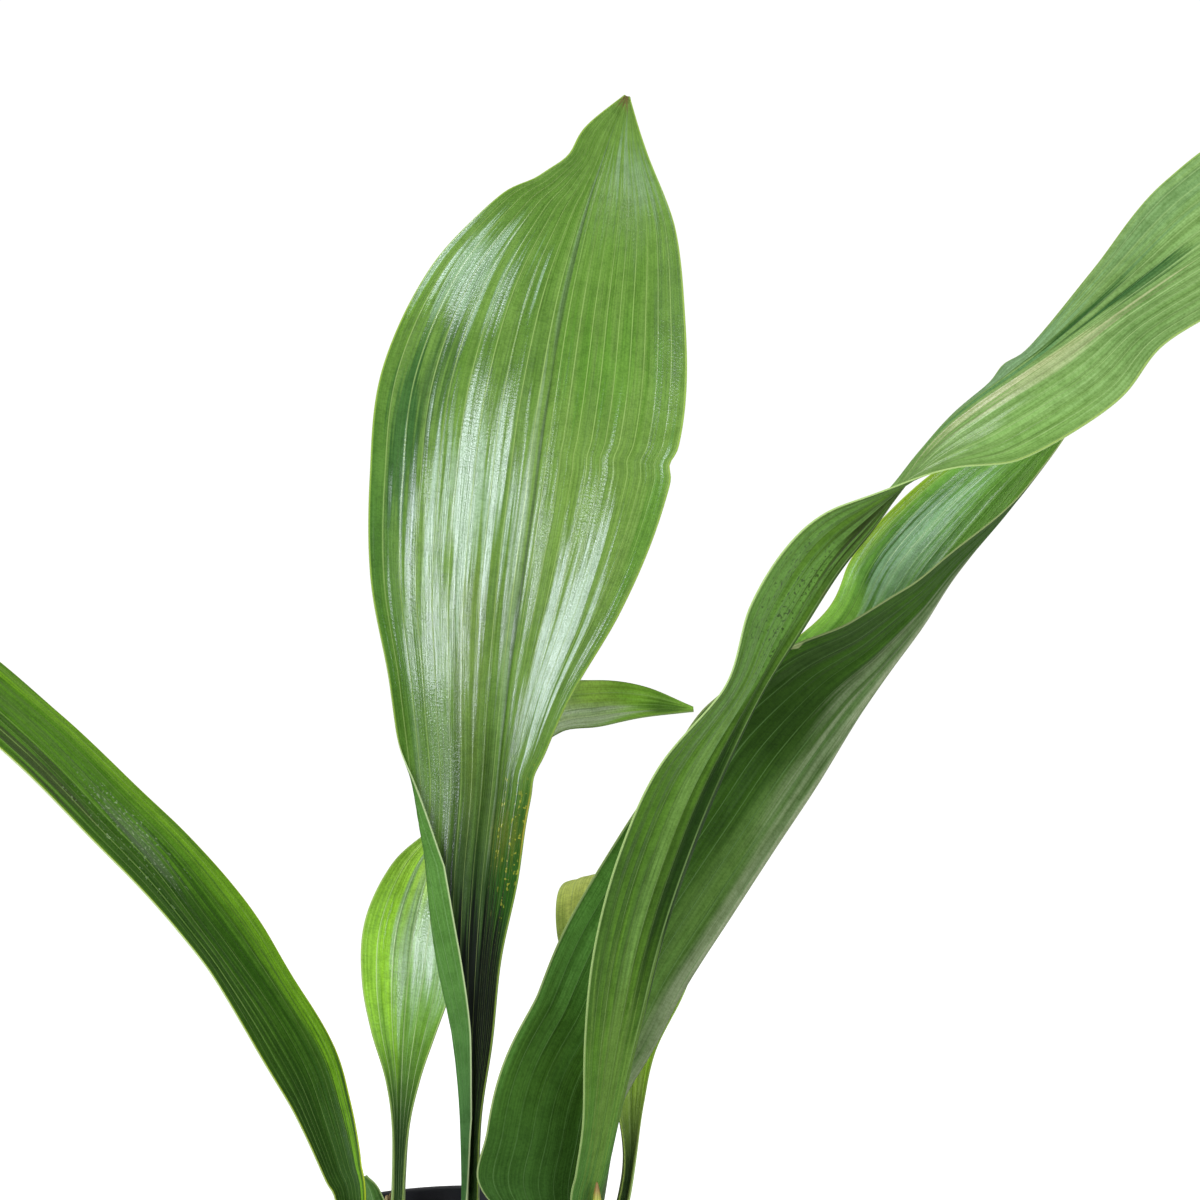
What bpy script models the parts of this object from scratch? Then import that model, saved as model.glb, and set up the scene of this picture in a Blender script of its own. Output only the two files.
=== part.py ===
"""Potted cast iron plant: seven grown leaves, a young leaf and a bud on one rhizome, in a pot of soil.

All sizes are in millimetres and are turned to metres when a mesh is made. +Z is up, the pot's axis
is the Z axis and the pot stands on z = 0. The plant's front is -Y.
"""

import math

import bmesh
import bpy
import numpy as np

MM = 0.001
GAP = 0.3  # clearance between pieces that touch

# pot: a moulded nursery pot with a rolled rim
POT_HEIGHT = 140.0
RIM_RADIUS = 75.0
RIM_DEPTH = 13.0
RIM_STEP = 3.2  # how far the rim band stands out from the wall
BASE_RADIUS = 54.0
WALL = 1.6
FLOOR = 2.0
FOOT_BEVEL = 3.0  # slope between the wall and the flat underside
INNER_CORNER = 5.0  # slope between the wall and the floor inside
INNER_CORNER_TOP = 8.0
LIP = 1.2  # rounding of the rim's edges
BAND_EDGE = 0.5  # bevel at the lower edge of the rim band
POT_SEGMENTS = 40
DRAIN_HOLES = 8
DRAIN_RADIUS = 5.0
DRAIN_RING = 47.0  # radius of the circle that the drain holes lie on

# soil
SOIL_TOP = 112.0
SOIL_DOME = 2.0  # how much the middle stands above the edge
SOIL_SHOULDER = 45.0  # radius where the soil starts to fall to its edge

# rhizome: a creeping stem, half sunk in the soil
RHIZOME_RADIUS = 5.6
RHIZOME_HEIGHT = 112.5  # height of its middle line
SCAR_SPACING = 9.0  # distance between the ring scars
SCAR_DEPTH = 0.5
RHIZOME_SIDES = 8
STUB_RADIUS = 5.2
STUB_FLARE = 0.8  # how much wider a stub is at its foot
STUB_FOOT = 110.5
STUB_TOP = 120.0
LEAF_FOOT = STUB_TOP + GAP  # height where the leaves and the bud start
STUB_SIDES = 12
END_SHARE = 0.35  # how full the rhizome is at its very ends
CROWN = [(-54, -24), (-42, -18), (-27, -10), (-10, -4), (2, 0), (25, 2), (46, -1), (53, 4), (57, 9)]
FRONT_BRANCH = [(24, 1), (35, -7), (45, -15), (50, -21), (53, -27)]
BACK_BRANCH = [(2, 0), (3, 11), (1, 21), (-13, 27), (-29, 27), (-37, 24)]

# leaf blades
MARGIN_THICKNESS = 0.7
KEEL_RADIUS = 3.0  # how sharply a folded leaf turns at its midrib
RIB_WIDTH = 3.0  # half-width of the thick band at the midrib
RIB_REACH = 0.6  # share of a leaf's length where its rib has thinned out
HALF_POINTS = 4  # points across each half of a blade
FINE_STEPS = 8  # steps of the section's curve from one point to the next
CURVE_STEPS = 6  # samples of the midrib's curve for each ring

# Each row is a station from the base to the tip: the midrib's x, y, z, then width, bearing and curl
# of the left half and of the right half. A bearing is an angle in the cross-section, from 0 for
# right through 90 for the front to 180 for left. Curl is how far the half turns towards the upper
# side by its margin.
LEAVES = {
    "leaf_tall_upright": {
        "rib": (3.0, 0.9),
        "rings": 28,
        "stations": [
            (2.0, 0, LEAF_FOOT, 3.4, 135, 10, 3.4, 40, 10),
            (2.3, 0, 152, 4.5, 130, 60, 3.6, 45, 20),
            (2.7, 0, 185, 9, 150, 110, 4.5, 40, 10),
            (4.2, 1, 217, 17, 165, 140, 8, 30, 10),
            (6.6, 2, 250, 27, 172, 140, 9, 28, 5),
            (9.4, 4, 282, 36, 176, 110, 13, 25, 0),
            (13.4, 6, 318, 41, 172, 60, 15, 25, 0),
            (17.4, 8, 355, 51, 168, 25, 25, 20, 0),
            (22.6, 11, 396, 63, 168, 10, 42, 12, 0),
            (28.2, 15, 437, 69, 168, 5, 53, 10, 0),
            (33.9, 20, 479, 70, 169, 0, 57, 10, 0),
            (40.8, 27, 521, 58, 170, 0, 51, 12, 0),
            (49.9, 36, 560, 34, 170, 0, 38, 12, 0),
            (59.3, 45, 591, 14, 170, 0, 16, 12, 0),
            (66.6, 52, 612, 1.2, 170, 0, 1.2, 12, 0),
        ],
    },
    "leaf_left_arching": {
        "rib": (3.0, 0.9),
        "rings": 26,
        "stations": [
            (-42, -18, LEAF_FOOT, 3.4, 130, 10, 3.4, 0, 10),
            (-44.7, -20, 158, 7.5, 118, 10, 7, -10, 10),
            (-48.6, -20, 170, 10, 117, 10, 10, -26, 10),
            (-55.7, -21, 192, 15, 114, 5, 16, -46, 5),
            (-62.3, -22, 210, 21, 111, 5, 22, -60, 5),
            (-75, -24, 233, 28, 101, 0, 29, -71, 0),
            (-90, -26, 255, 32, 94, 0, 34, -72, 0),
            (-102, -28, 272, 34, 93, 0, 35, -74, 0),
            (-117, -30, 293, 36, 95, 0, 36, -80, 0),
            (-134, -32, 312, 38, 95, 0, 38, -84, 0),
            (-165, -35, 345, 40, 95, 0, 39, -88, 0),
            (-203, -38, 376, 39, 95, 0, 38, -86, 0),
            (-250, -41, 399, 32, 95, 0, 32, -84, 0),
            (-297, -43, 403, 17, 93, 0, 17, -84, 0),
            (-330, -44, 394, 1.2, 93, 0, 1.2, -84, 0),
        ],
    },
    "leaf_back_left": {
        "rib": (2.6, 0.9),
        "rings": 20,
        "stations": [
            (-30, 27, LEAF_FOOT, 3.0, 135, 10, 3.0, 40, 10),
            (-29.4, 28, 145, 2.4, 135, 10, 2.4, 45, 10),
            (-28.6, 29, 174, 3.2, 135, 10, 3.8, 40, 10),
            (-28.0, 30, 195, 7, 145, 10, 8.5, 35, 5),
            (-27.1, 31, 216, 14.5, 155, 5, 15, 28, 0),
            (-25.6, 33, 236, 20, 160, 0, 20, 22, 0),
            (-23.3, 37, 257, 21.5, 162, 0, 20, 20, 0),
            (-18.5, 43, 278, 16.5, 162, 0, 15, 20, 0),
            (-13, 50, 294, 7, 162, 0, 7, 20, 0),
            (-9, 56, 305, 1.2, 162, 0, 1.2, 20, 0),
        ],
    },
    "leaf_small_bent": {
        "rib": (2.4, 0.8),
        "rings": 20,
        "stations": [
            (2.0, 20, LEAF_FOOT, 3.0, 140, 10, 3.0, 40, 10),
            (1.5, 22, 165, 2.4, 140, 10, 2.4, 40, 10),
            (3, 26, 215, 2.4, 150, 10, 2.4, 45, 10),
            (7, 31, 265, 3.0, 165, 10, 2.8, 45, 10),
            (13, 35, 300, 7, 180, 5, 5, 45, 5),
            (20, 38, 328, 13, 195, 5, 4.5, 48, 5),
            (36, 40, 344, 17.5, 205, 5, 7, 55, 5),
            (54.6, 41, 348, 17.5, 208, 0, 10, 60, 0),
            (73.6, 42, 350, 12, 205, 0, 7, 65, 0),
            (94.7, 43, 350, 1.2, 200, 0, 1.2, 65, 0),
        ],
    },
    "leaf_back_arching": {
        "rib": (2.8, 0.9),
        "rings": 24,
        "stations": [
            (57, 9, LEAF_FOOT, 3.2, 140, 10, 3.2, 40, 10),
            (59.5, 10.5, 133, 2.4, 140, 10, 2.4, 40, 10),
            (64.4, 13, 148, 2.0, 140, 10, 2.0, 40, 10),
            (67.3, 16, 166, 2.4, 145, 10, 2.4, 35, 10),
            (67.3, 20, 187, 6, 150, 5, 6, 30, 5),
            (67.5, 25, 208, 14, 160, 0, 11, 22, 0),
            (67.5, 33, 230, 23, 171, 0, 23, 13, 0),
            (68, 46, 252, 31, 184, 0, 31, 12, 0),
            (68.5, 72, 272, 33, 195, 0, 34, 13, 0),
            (70, 108, 277, 31, 200, 0, 33, 14, 0),
            (71, 146, 264, 24, 196, 0, 26, 8, 0),
            (72, 180, 240, 13, 190, 0, 13, 4, 0),
            (73, 202, 214, 1.2, 184, 0, 1.2, -4, 0),
        ],
    },
    "leaf_right_twisted": {
        "rib": (3.4, 1.0),
        "rings": 32,
        "stations": [
            (45, -15, LEAF_FOOT, 3.6, 228, 5, 3.6, 132, 5),
            (51, -19, 156, 7, 232, 0, 11, 150, 0),
            (55, -22, 171, 10, 238, 0, 13, 148, 0),
            (60, -28, 194, 14, 244, 0, 16, 144, 0),
            (68.5, -39, 230, 22, 250, 0, 26, 141, 0),
            (77.5, -50, 267, 30, 252, 0, 34, 138, 0),
            (88, -56, 299, 36, 252, 0, 40, 134, 0),
            (99.5, -60, 328, 39, 254, 0, 42, 130, 0),
            (115, -63, 361, 42, 262, 0, 43, 115, 0),
            (130, -66, 385, 43, 260, 0, 44, 126, 0),
            (144, -68, 407, 44, 262, 0, 44, 126, 0),
            (157, -69, 423.5, 44, 268, 0, 44, 115, 0),
            (168, -70, 439, 44, 274, 0, 44, 96, 0),
            (180, -70, 455, 44, 276, 0, 44, 72, 0),
            (196.5, -70, 469, 44, 272, 0, 44, 57, 0),
            (228, -69, 490, 44, 265, 0, 43, 54, 0),
            (262, -67, 514, 43, 248, 0, 45, 66, 0),
            (295, -64, 536, 44, 228, 0, 47, 56, 0),
            (328, -60, 553, 45, 224, 0, 41, 48, 0),
            (362, -55, 561, 25, 228, 0, 22, 46, 0),
            (392, -50, 558, 1.2, 226, 0, 1.2, 46, 0),
        ],
    },
    "leaf_right_broad": {
        "rib": (3.4, 1.0),
        "rings": 28,
        "stations": [
            (46, -1, LEAF_FOOT, 3.6, 222, 5, 3.6, 140, 5),
            (51, -1.5, 138, 12, 215, 0, 27, 160, 0),
            (54, -2, 155, 28, 212, 0, 51, 165, 0),
            (57.5, -2.5, 175, 34, 212, 0, 52, 165, 0),
            (62.5, -3, 195, 38, 212, 0, 53, 164, 0),
            (75, -3, 216, 42, 212, 0, 56, 162, 0),
            (88.5, -2, 241, 44, 210, 0, 59, 162, 0),
            (108, 1, 270, 46, 208, 0, 61, 162, 0),
            (125, 4, 295, 46, 206, 0, 62, 160, 0),
            (143, 7, 321, 46, 202, 0, 62, 160, 0),
            (160, 9, 348, 45, 198, 0, 57, 146, 0),
            (173, 11, 367, 45, 196, 0, 50, 128, 0),
            (187, 14, 386, 43, 195, 0, 45, 117, 0),
            (200, 17, 406, 39, 194, 0, 38, 108, 0),
            (220, 21, 431, 33, 193, 0, 30, 97, 0),
            (236, 24, 451, 22, 192, 0, 18, 96, 0),
            (251, 27, 471, 1.2, 192, 0, 1.2, 96, 0),
        ],
    },
    "leaf_left_young": {
        "rib": (2.2, 0.8),
        "rings": 9,
        "stations": [
            (-28, -10.5, LEAF_FOOT, 2.8, 150, 20, 2.8, 40, 20),
            (-31, -6, 133, 5, 155, 30, 5, 35, 30),
            (-35, -3, 146, 6, 155, 30, 6, 30, 30),
            (-38, -1, 156, 4, 155, 20, 4, 30, 20),
            (-41, 0, 162, 1.0, 155, 10, 1.0, 30, 10),
        ],
    },
}

# papery sheaths round the leaf bases: leaf and height above the stub
SHEATHS = {
    "leaf_tall_upright": 26.0,
    "leaf_left_arching": 22.0,
    "leaf_back_left": 24.0,
    "leaf_small_bent": 18.0,
    "leaf_back_arching": 13.0,
    "leaf_right_twisted": 16.0,
}
SHEATH_CLEARANCE = 1.2
SHEATH_WALL = 0.8
SHEATH_THINNING = 0.35  # share of its wall that a sheath loses towards its top
SHEATH_SLANT = 0.25  # rise of the slanting top as a share of the height
SHEATH_TURN = 0.6  # turn of the slanting top, in radians
SHEATH_SIDES = 10
SHEATH_RINGS = 5

# bud: x, y, z and radius from its base to its tip
BUD = [
    (53, -27, LEAF_FOOT, 4.0),
    (53.8, -28, 134, 4.3),
    (54, -29, 149, 3.4),
    (53.9, -29, 160, 2.0),
    (53.8, -29, 167, 0.6),
]
BUD_SIDES = 10
BUD_RINGS = 10

COLOURS = {
    "pot": (0.012, 0.011, 0.014, 0.42),
    "soil": (0.045, 0.026, 0.016, 0.95),
    "rhizome": (0.20, 0.15, 0.07, 0.75),
    "sheath": (0.24, 0.19, 0.09, 0.8),
    "bud": (0.42, 0.42, 0.06, 0.6),
    "leaf_tall_upright": (0.06, 0.22, 0.045, 0.35),
    "leaf_left_arching": (0.04, 0.17, 0.03, 0.35),
    "leaf_back_left": (0.12, 0.38, 0.05, 0.38),
    "leaf_small_bent": (0.08, 0.29, 0.04, 0.38),
    "leaf_back_arching": (0.20, 0.42, 0.07, 0.42),
    "leaf_right_twisted": (0.10, 0.28, 0.06, 0.42),
    "leaf_right_broad": (0.05, 0.17, 0.03, 0.42),
    "leaf_left_young": (0.07, 0.24, 0.04, 0.4),
}


def clear_scene():
    for thing in list(bpy.data.objects):
        bpy.data.objects.remove(thing, do_unlink=True)


def material(name, key):
    red, green, blue, roughness = COLOURS[key]
    made = bpy.data.materials.new(name)
    made.use_nodes = True
    shader = made.node_tree.nodes["Principled BSDF"]
    shader.inputs["Base Color"].default_value = (red, green, blue, 1.0)
    shader.inputs["Roughness"].default_value = roughness
    shader.inputs["Metallic"].default_value = 0.0
    return made


def place(name, mesh, key, smooth_angle=40.0):
    """Puts a finished mesh in the scene as one shaded, coloured object."""
    mesh.shade_smooth()
    mesh.set_sharp_from_angle(angle=math.radians(smooth_angle))
    piece = bpy.data.objects.new(name, mesh)
    piece.data.materials.append(material(name, key))
    bpy.context.scene.collection.objects.link(piece)
    return piece


def ring_mesh(name, rings, closed=False):
    """A mesh through rings of points, capped at both ends, or joined end to end if closed."""
    builder = bmesh.new()
    loops = [[builder.verts.new(point * MM) for point in ring] for ring in rings]
    pairs = list(zip(loops, loops[1:]))
    if closed:
        pairs.append((loops[-1], loops[0]))
    for lower, upper in pairs:
        count = len(lower)
        for i in range(count):
            j = (i + 1) % count
            builder.faces.new((lower[i], lower[j], upper[j], upper[i]))
    if not closed:
        builder.faces.new(list(reversed(loops[0])))
        builder.faces.new(loops[-1])
    bmesh.ops.recalc_face_normals(builder, faces=builder.faces)
    mesh = bpy.data.meshes.new(name)
    builder.to_mesh(mesh)
    builder.free()
    return mesh


def smooth_line(points, count):
    """Points evenly spread along a Catmull-Rom curve through the given rows."""
    rows = np.array(points, float)
    rows = np.vstack([2 * rows[0] - rows[1], rows, 2 * rows[-1] - rows[-2]])
    samples = []
    for t in np.linspace(0, len(points) - 1, count):
        i = min(int(t), len(points) - 2)
        f = t - i
        a, b, c, d = rows[i : i + 4]
        tangent_b = (c - a) / 2
        tangent_c = (d - b) / 2
        samples.append(
            (2 * f**3 - 3 * f**2 + 1) * b
            + (f**3 - 2 * f**2 + f) * tangent_b
            + (3 * f**2 - 2 * f**3) * c
            + (f**3 - f**2) * tangent_c
        )
    return np.array(samples)


def evenly(rows, count):
    """Resamples rows so that the first three numbers are evenly spaced along their curve."""
    steps = np.linalg.norm(np.diff(rows[:, :3], axis=0), axis=1)
    along = np.concatenate([[0], np.cumsum(steps)])
    wanted = np.linspace(0, along[-1], count)
    return np.column_stack([np.interp(wanted, along, column) for column in rows.T])


def frames(line):
    """For each point, the direction of travel, and the side and front directions carried along."""
    travel = np.gradient(line, axis=0)
    travel /= np.linalg.norm(travel, axis=1)[:, None]
    front = np.array([0.0, -1.0, 0.0])
    result = []
    for direction in travel:
        front = front - direction * front.dot(direction)
        front /= np.linalg.norm(front)
        result.append((direction, np.cross(direction, front), front))
    return result


def half_section(width, bearing, start, curl, points):
    """Points and headings from the midrib outwards, in the plane of side and front."""
    step = width / (points * FINE_STEPS)
    reached = np.zeros(2)
    found = []
    for i in range(points * FINE_STEPS):
        u = (i + 0.5) * step
        turn = 1 - math.exp(-u / KEEL_RADIUS)
        heading = math.radians(start + (bearing - start) * turn + curl * (u / width) ** 2)
        reached = reached + step * np.array([math.cos(heading), math.sin(heading)])
        if (i + 1) % FINE_STEPS == 0:
            found.append((reached, heading, (i + 1) * step))
    return found


def leaf_rings(leaf):
    """Rings round a leaf from its foot to its tip, each along the under side and back by the upper."""
    count = leaf["rings"]
    rib_foot, rib_tip = leaf["rib"]
    rows = evenly(smooth_line(leaf["stations"], count * CURVE_STEPS), count)
    rings = []
    for number, (row, (_, side, front)) in enumerate(zip(rows, frames(rows[:, :3]))):
        left_width, left_bearing, left_curl, right_width, right_bearing, right_curl = row[3:]
        level = (right_bearing + left_bearing - 180) / 2
        right = half_section(right_width, right_bearing, level, right_curl, HALF_POINTS)
        left = half_section(left_width, left_bearing, 180 + level, -left_curl, HALF_POINTS)
        thinning = min(1.0, number / (RIB_REACH * (count - 1)))
        rib_thickness = rib_foot + (rib_tip - rib_foot) * thinning
        strip = [(p, h + math.pi, u) for p, h, u in reversed(left)]
        strip += [(np.zeros(2), math.radians(level), 0.0)]
        strip += right
        upper = []
        under = []
        for p, heading, u in strip:
            blend = math.exp(-((u / RIB_WIDTH) ** 2))
            half = (MARGIN_THICKNESS + (rib_thickness - MARGIN_THICKNESS) * blend) / 2
            normal = np.array([-math.sin(heading), math.cos(heading)])
            upper.append(p + normal * half)
            under.append(p - normal * half)
        outline = under + upper[::-1]
        rings.append(np.array([row[:3] + side * q[0] + front * q[1] for q in outline]))
    rings[0][:, 2] = LEAF_FOOT  # cut level where the leaf stands on its stub
    return rings


def make_leaf(name, leaf):
    return place(name, ring_mesh(name, leaf_rings(leaf)), name, 60.0)


def turned(name, profile, segments):
    """Turns a closed profile of (radius, height) points round the Z axis; radius 0 closes an end."""
    builder = bmesh.new()
    corners = [builder.verts.new((r * MM, 0.0, z * MM)) for r, z in profile]
    edges = [builder.edges.new(pair) for pair in zip(corners, corners[1:])]
    bmesh.ops.spin(
        builder,
        geom=corners + edges,
        axis=(0, 0, 1),
        cent=(0, 0, 0),
        steps=segments,
        angle=2 * math.pi,
    )
    bmesh.ops.remove_doubles(builder, verts=builder.verts, dist=1e-5)
    bmesh.ops.recalc_face_normals(builder, faces=builder.faces)
    mesh = bpy.data.meshes.new(name)
    builder.to_mesh(mesh)
    builder.free()
    return mesh


def wall_radius(height):
    """Outer radius of the tapered wall at a height."""
    top = RIM_RADIUS - RIM_STEP
    return BASE_RADIUS + (top - BASE_RADIUS) * height / POT_HEIGHT


def boolean(target, tool, operation):
    """Applies one exact Boolean and removes the tool."""
    change = target.modifiers.new("cut", "BOOLEAN")
    change.object = tool
    change.operation = operation
    change.solver = "EXACT"
    view = bpy.context.evaluated_depsgraph_get()
    mesh = bpy.data.meshes.new_from_object(target.evaluated_get(view))
    target.modifiers.clear()
    target.data = mesh
    bpy.data.objects.remove(tool, do_unlink=True)


def make_pot():
    band = POT_HEIGHT - RIM_DEPTH
    profile = [
        (0, 0),
        (BASE_RADIUS - FOOT_BEVEL, 0),
        (BASE_RADIUS, FOOT_BEVEL),
        (wall_radius(band), band),
        (RIM_RADIUS - BAND_EDGE, band + BAND_EDGE),
        (RIM_RADIUS, POT_HEIGHT - LIP),
        (RIM_RADIUS - LIP, POT_HEIGHT),
        (wall_radius(POT_HEIGHT) - WALL + LIP, POT_HEIGHT),
        (wall_radius(POT_HEIGHT - LIP) - WALL, POT_HEIGHT - LIP),
        (wall_radius(band) - WALL, band),
        (wall_radius(INNER_CORNER_TOP) - WALL, INNER_CORNER_TOP),
        (BASE_RADIUS - INNER_CORNER, FLOOR),
        (0, FLOOR),
    ]
    pot = place("pot", turned("pot", profile, POT_SEGMENTS), "pot")
    for number in range(DRAIN_HOLES):
        angle = 2 * math.pi * number / DRAIN_HOLES
        centre = (DRAIN_RING * math.cos(angle) * MM, DRAIN_RING * math.sin(angle) * MM, FLOOR / 2 * MM)
        bpy.ops.mesh.primitive_cylinder_add(
            vertices=16, radius=DRAIN_RADIUS * MM, depth=4 * FLOOR * MM, location=centre
        )
        boolean(pot, bpy.context.object, "DIFFERENCE")
    return pot


def frames_flat(line):
    """For each point of a level line, the direction of travel, the side and up."""
    travel = np.gradient(line, axis=0)
    travel /= np.linalg.norm(travel, axis=1)[:, None]
    up = np.array([0.0, 0.0, 1.0])
    return [(direction, np.cross(direction, up), up) for direction in travel]


def rhizome_tube(points, grow):
    """A knobbly tube along the soil, thinner at its ends; grow thickens it for the soil's groove."""
    line = smooth_line([(x, y, RHIZOME_HEIGHT) for x, y in points], 120)
    length = np.linalg.norm(np.diff(line, axis=0), axis=1).sum()
    rows = evenly(line, 2 * round(length / SCAR_SPACING) + 1)
    along = np.linspace(0, length, len(rows))
    places = frames_flat(rows)
    rows[0] -= grow * places[0][0]
    rows[-1] += grow * places[-1][0]
    rings = []
    for number, (distance, row, (_, side, up)) in enumerate(zip(along, rows, places)):
        end = min(distance, along[-1] - distance)
        taper = math.sqrt(min(1.0, END_SHARE + end / (2 * RHIZOME_RADIUS)))
        knob = SCAR_DEPTH if number % 2 == 0 else -SCAR_DEPTH
        radius = RHIZOME_RADIUS * taper + knob + grow
        angles = [2 * math.pi * i / RHIZOME_SIDES for i in range(RHIZOME_SIDES)]
        rings.append([row + radius * (side * math.cos(a) + up * math.sin(a)) for a in angles])
    return ring_mesh("rhizome", rings)


def stub_places():
    """Where a leaf or the bud stands on the rhizome."""
    places = [leaf["stations"][0][:2] for leaf in LEAVES.values()]
    return places + [BUD[0][:2]]


def make_rhizome(name, grow):
    """The rhizome with its branches and leaf stubs, or its groove in the soil where grow is more."""
    rhizome = place(name, rhizome_tube(CROWN, grow), "rhizome")
    for branch in (FRONT_BRANCH, BACK_BRANCH):
        boolean(rhizome, place("branch", rhizome_tube(branch, grow), "rhizome"), "UNION")
    foot = STUB_FOOT - grow
    top = STUB_TOP + grow
    for x, y in stub_places():
        bpy.ops.mesh.primitive_cone_add(
            vertices=STUB_SIDES,
            radius1=(STUB_RADIUS + STUB_FLARE + grow) * MM,
            radius2=(STUB_RADIUS + grow) * MM,
            depth=(top - foot) * MM,
            location=(x * MM, y * MM, (foot + top) / 2 * MM),
        )
        boolean(rhizome, bpy.context.object, "UNION")
    return rhizome


def make_soil():
    edge = SOIL_TOP - SOIL_DOME
    inset = WALL + 2 * GAP
    profile = [
        (0, FLOOR + GAP),
        (BASE_RADIUS - INNER_CORNER - GAP, FLOOR + GAP),
        (wall_radius(INNER_CORNER_TOP) - inset, INNER_CORNER_TOP),
        (wall_radius(edge) - inset, edge),
        (SOIL_SHOULDER, SOIL_TOP - SOIL_DOME / 3),
        (0, SOIL_TOP),
    ]
    soil = place("soil", turned("soil", profile, POT_SEGMENTS), "soil")
    boolean(soil, make_rhizome("groove", GAP), "DIFFERENCE")
    return soil


def make_sheath(leaf_name, height):
    """A sleeve that follows a leaf base with a little clearance, cut slanting at its top."""
    sections = leaf_rings(LEAVES[leaf_name])
    centres = np.array([section.mean(axis=0) for section in sections])
    reach = [np.linalg.norm(s - c, axis=1).max() for s, c in zip(sections, centres)]
    inner = []
    outer = []
    for share in np.linspace(0, 1, SHEATH_RINGS):
        level = LEAF_FOOT + share * height
        centre = np.array([np.interp(level, centres[:, 2], centres[:, k]) for k in range(2)] + [level])
        bore = np.interp(level, centres[:, 2], reach) + SHEATH_CLEARANCE
        wall = SHEATH_WALL * (1 - SHEATH_THINNING * share)
        for rings, radius in ((inner, bore), (outer, bore + wall)):
            ring = []
            for i in range(SHEATH_SIDES):
                angle = 2 * math.pi * i / SHEATH_SIDES
                slant = SHEATH_SLANT * height * share**2 * math.sin(angle + SHEATH_TURN)
                ring.append(centre + np.array([radius * math.cos(angle), radius * math.sin(angle), slant]))
            rings.append(ring)
    name = leaf_name.replace("leaf_", "sheath_")
    return place(name, ring_mesh(name, outer + inner[::-1], closed=True), "sheath")


def make_bud():
    rows = smooth_line(BUD, BUD_RINGS)
    angles = [2 * math.pi * i / BUD_SIDES for i in range(BUD_SIDES)]
    rings = [
        [np.array([x + r * math.cos(a), y + r * math.sin(a), z]) for a in angles]
        for x, y, z, r in rows
    ]
    return place("shoot_bud", ring_mesh("shoot_bud", rings), "bud", 60.0)


def main():
    clear_scene()
    make_pot()
    make_soil()
    make_rhizome("rhizome", 0.0)
    for name, leaf in LEAVES.items():
        make_leaf(name, leaf)
    for leaf_name, height in SHEATHS.items():
        make_sheath(leaf_name, height)
    make_bud()


main()
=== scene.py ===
import math
import random

import bpy
import numpy as np
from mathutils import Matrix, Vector, noise


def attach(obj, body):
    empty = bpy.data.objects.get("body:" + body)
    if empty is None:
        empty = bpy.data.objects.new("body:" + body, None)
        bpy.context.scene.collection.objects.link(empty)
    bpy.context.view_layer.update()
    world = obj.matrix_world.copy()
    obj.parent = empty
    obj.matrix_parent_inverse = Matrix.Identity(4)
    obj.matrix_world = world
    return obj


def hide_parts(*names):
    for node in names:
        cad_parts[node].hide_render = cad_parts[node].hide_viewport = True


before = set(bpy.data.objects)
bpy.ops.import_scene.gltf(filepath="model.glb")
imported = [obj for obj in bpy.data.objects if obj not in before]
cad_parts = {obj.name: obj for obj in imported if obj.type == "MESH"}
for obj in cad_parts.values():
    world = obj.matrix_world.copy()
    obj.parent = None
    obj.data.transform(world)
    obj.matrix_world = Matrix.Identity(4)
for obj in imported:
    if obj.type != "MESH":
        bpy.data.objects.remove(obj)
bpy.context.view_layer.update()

mm = 0.001
dice = random.Random(7)  # the soil's chips and grains are drawn from this, in order


def linear(colour):  # sRGB hex to linear RGBA
    parts = [int(colour[i : i + 2], 16) / 255 for i in (1, 3, 5)]
    return [p / 12.92 if p <= 0.04045 else ((p + 0.055) / 1.055) ** 2.4 for p in parts] + [1.0]


# adds a node and gives back one of its outputs; a setting is a property's name or a socket's key
def addNode(tree, kind, settings=None, links=None, out=0):
    node = tree.nodes.new("ShaderNode" + kind)
    for key, value in (settings or {}).items():
        if isinstance(key, str) and key in node.bl_rna.properties:
            setattr(node, key, value)
        else:
            node.inputs[key].default_value = value
    for key, source in (links or {}).items():
        tree.links.new(source, node.inputs[key])
    return node.outputs[out] if node.outputs else node


# lays a colour over what is under it, where a mask says; with levels, the mask is how far a pattern
# has gone from the first to the second, and the strengths are what it gives there
def tint(tree, under, colour, mask, levels=None, strengths=(0.0, 1.0), kind="MIX"):
    if levels:
        span = {1: levels[0], 2: levels[1], 3: strengths[0], 4: strengths[1]}
        mask = addNode(tree, "MapRange", span, {0: mask})
    settings = {"data_type": "RGBA", "blend_type": kind, 7: linear(colour)}
    if isinstance(under, str):
        return addNode(tree, "Mix", settings | {6: linear(under)}, {0: mask}, 2)
    return addNode(tree, "Mix", settings, {0: mask, 6: under}, 2)


def newMaterial(name):
    made = bpy.data.materials.new(name)
    made.use_nodes = True
    tree = made.node_tree
    tree.nodes.clear()
    return made, tree


def closeMaterial(tree, settings, links):
    shader = addNode(tree, "BsdfPrincipled", settings, links)
    addNode(tree, "OutputMaterial", {}, {"Surface": shader})


# ends a material whose roughness runs between two values and whose relief has a strength and a height
# in mm, each after its own pattern
def closeWorn(tree, colour, worn, raised, settings=None, top=0.7):
    source, smooth, dusty = worn
    rough = addNode(tree, "MapRange", {1: 0.3, 2: top, 3: smooth, 4: dusty}, {0: source})
    source, strength, height = raised
    relief = addNode(tree, "Bump", {"Strength": strength, "Distance": height * mm}, {"Height": source})
    closeMaterial(tree, settings or {}, {"Base Color": colour, "Roughness": rough, "Normal": relief})


def onlyThis(piece):
    bpy.ops.object.select_all(action="DESELECT")
    piece.select_set(True)
    bpy.context.view_layer.objects.active = piece


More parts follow.
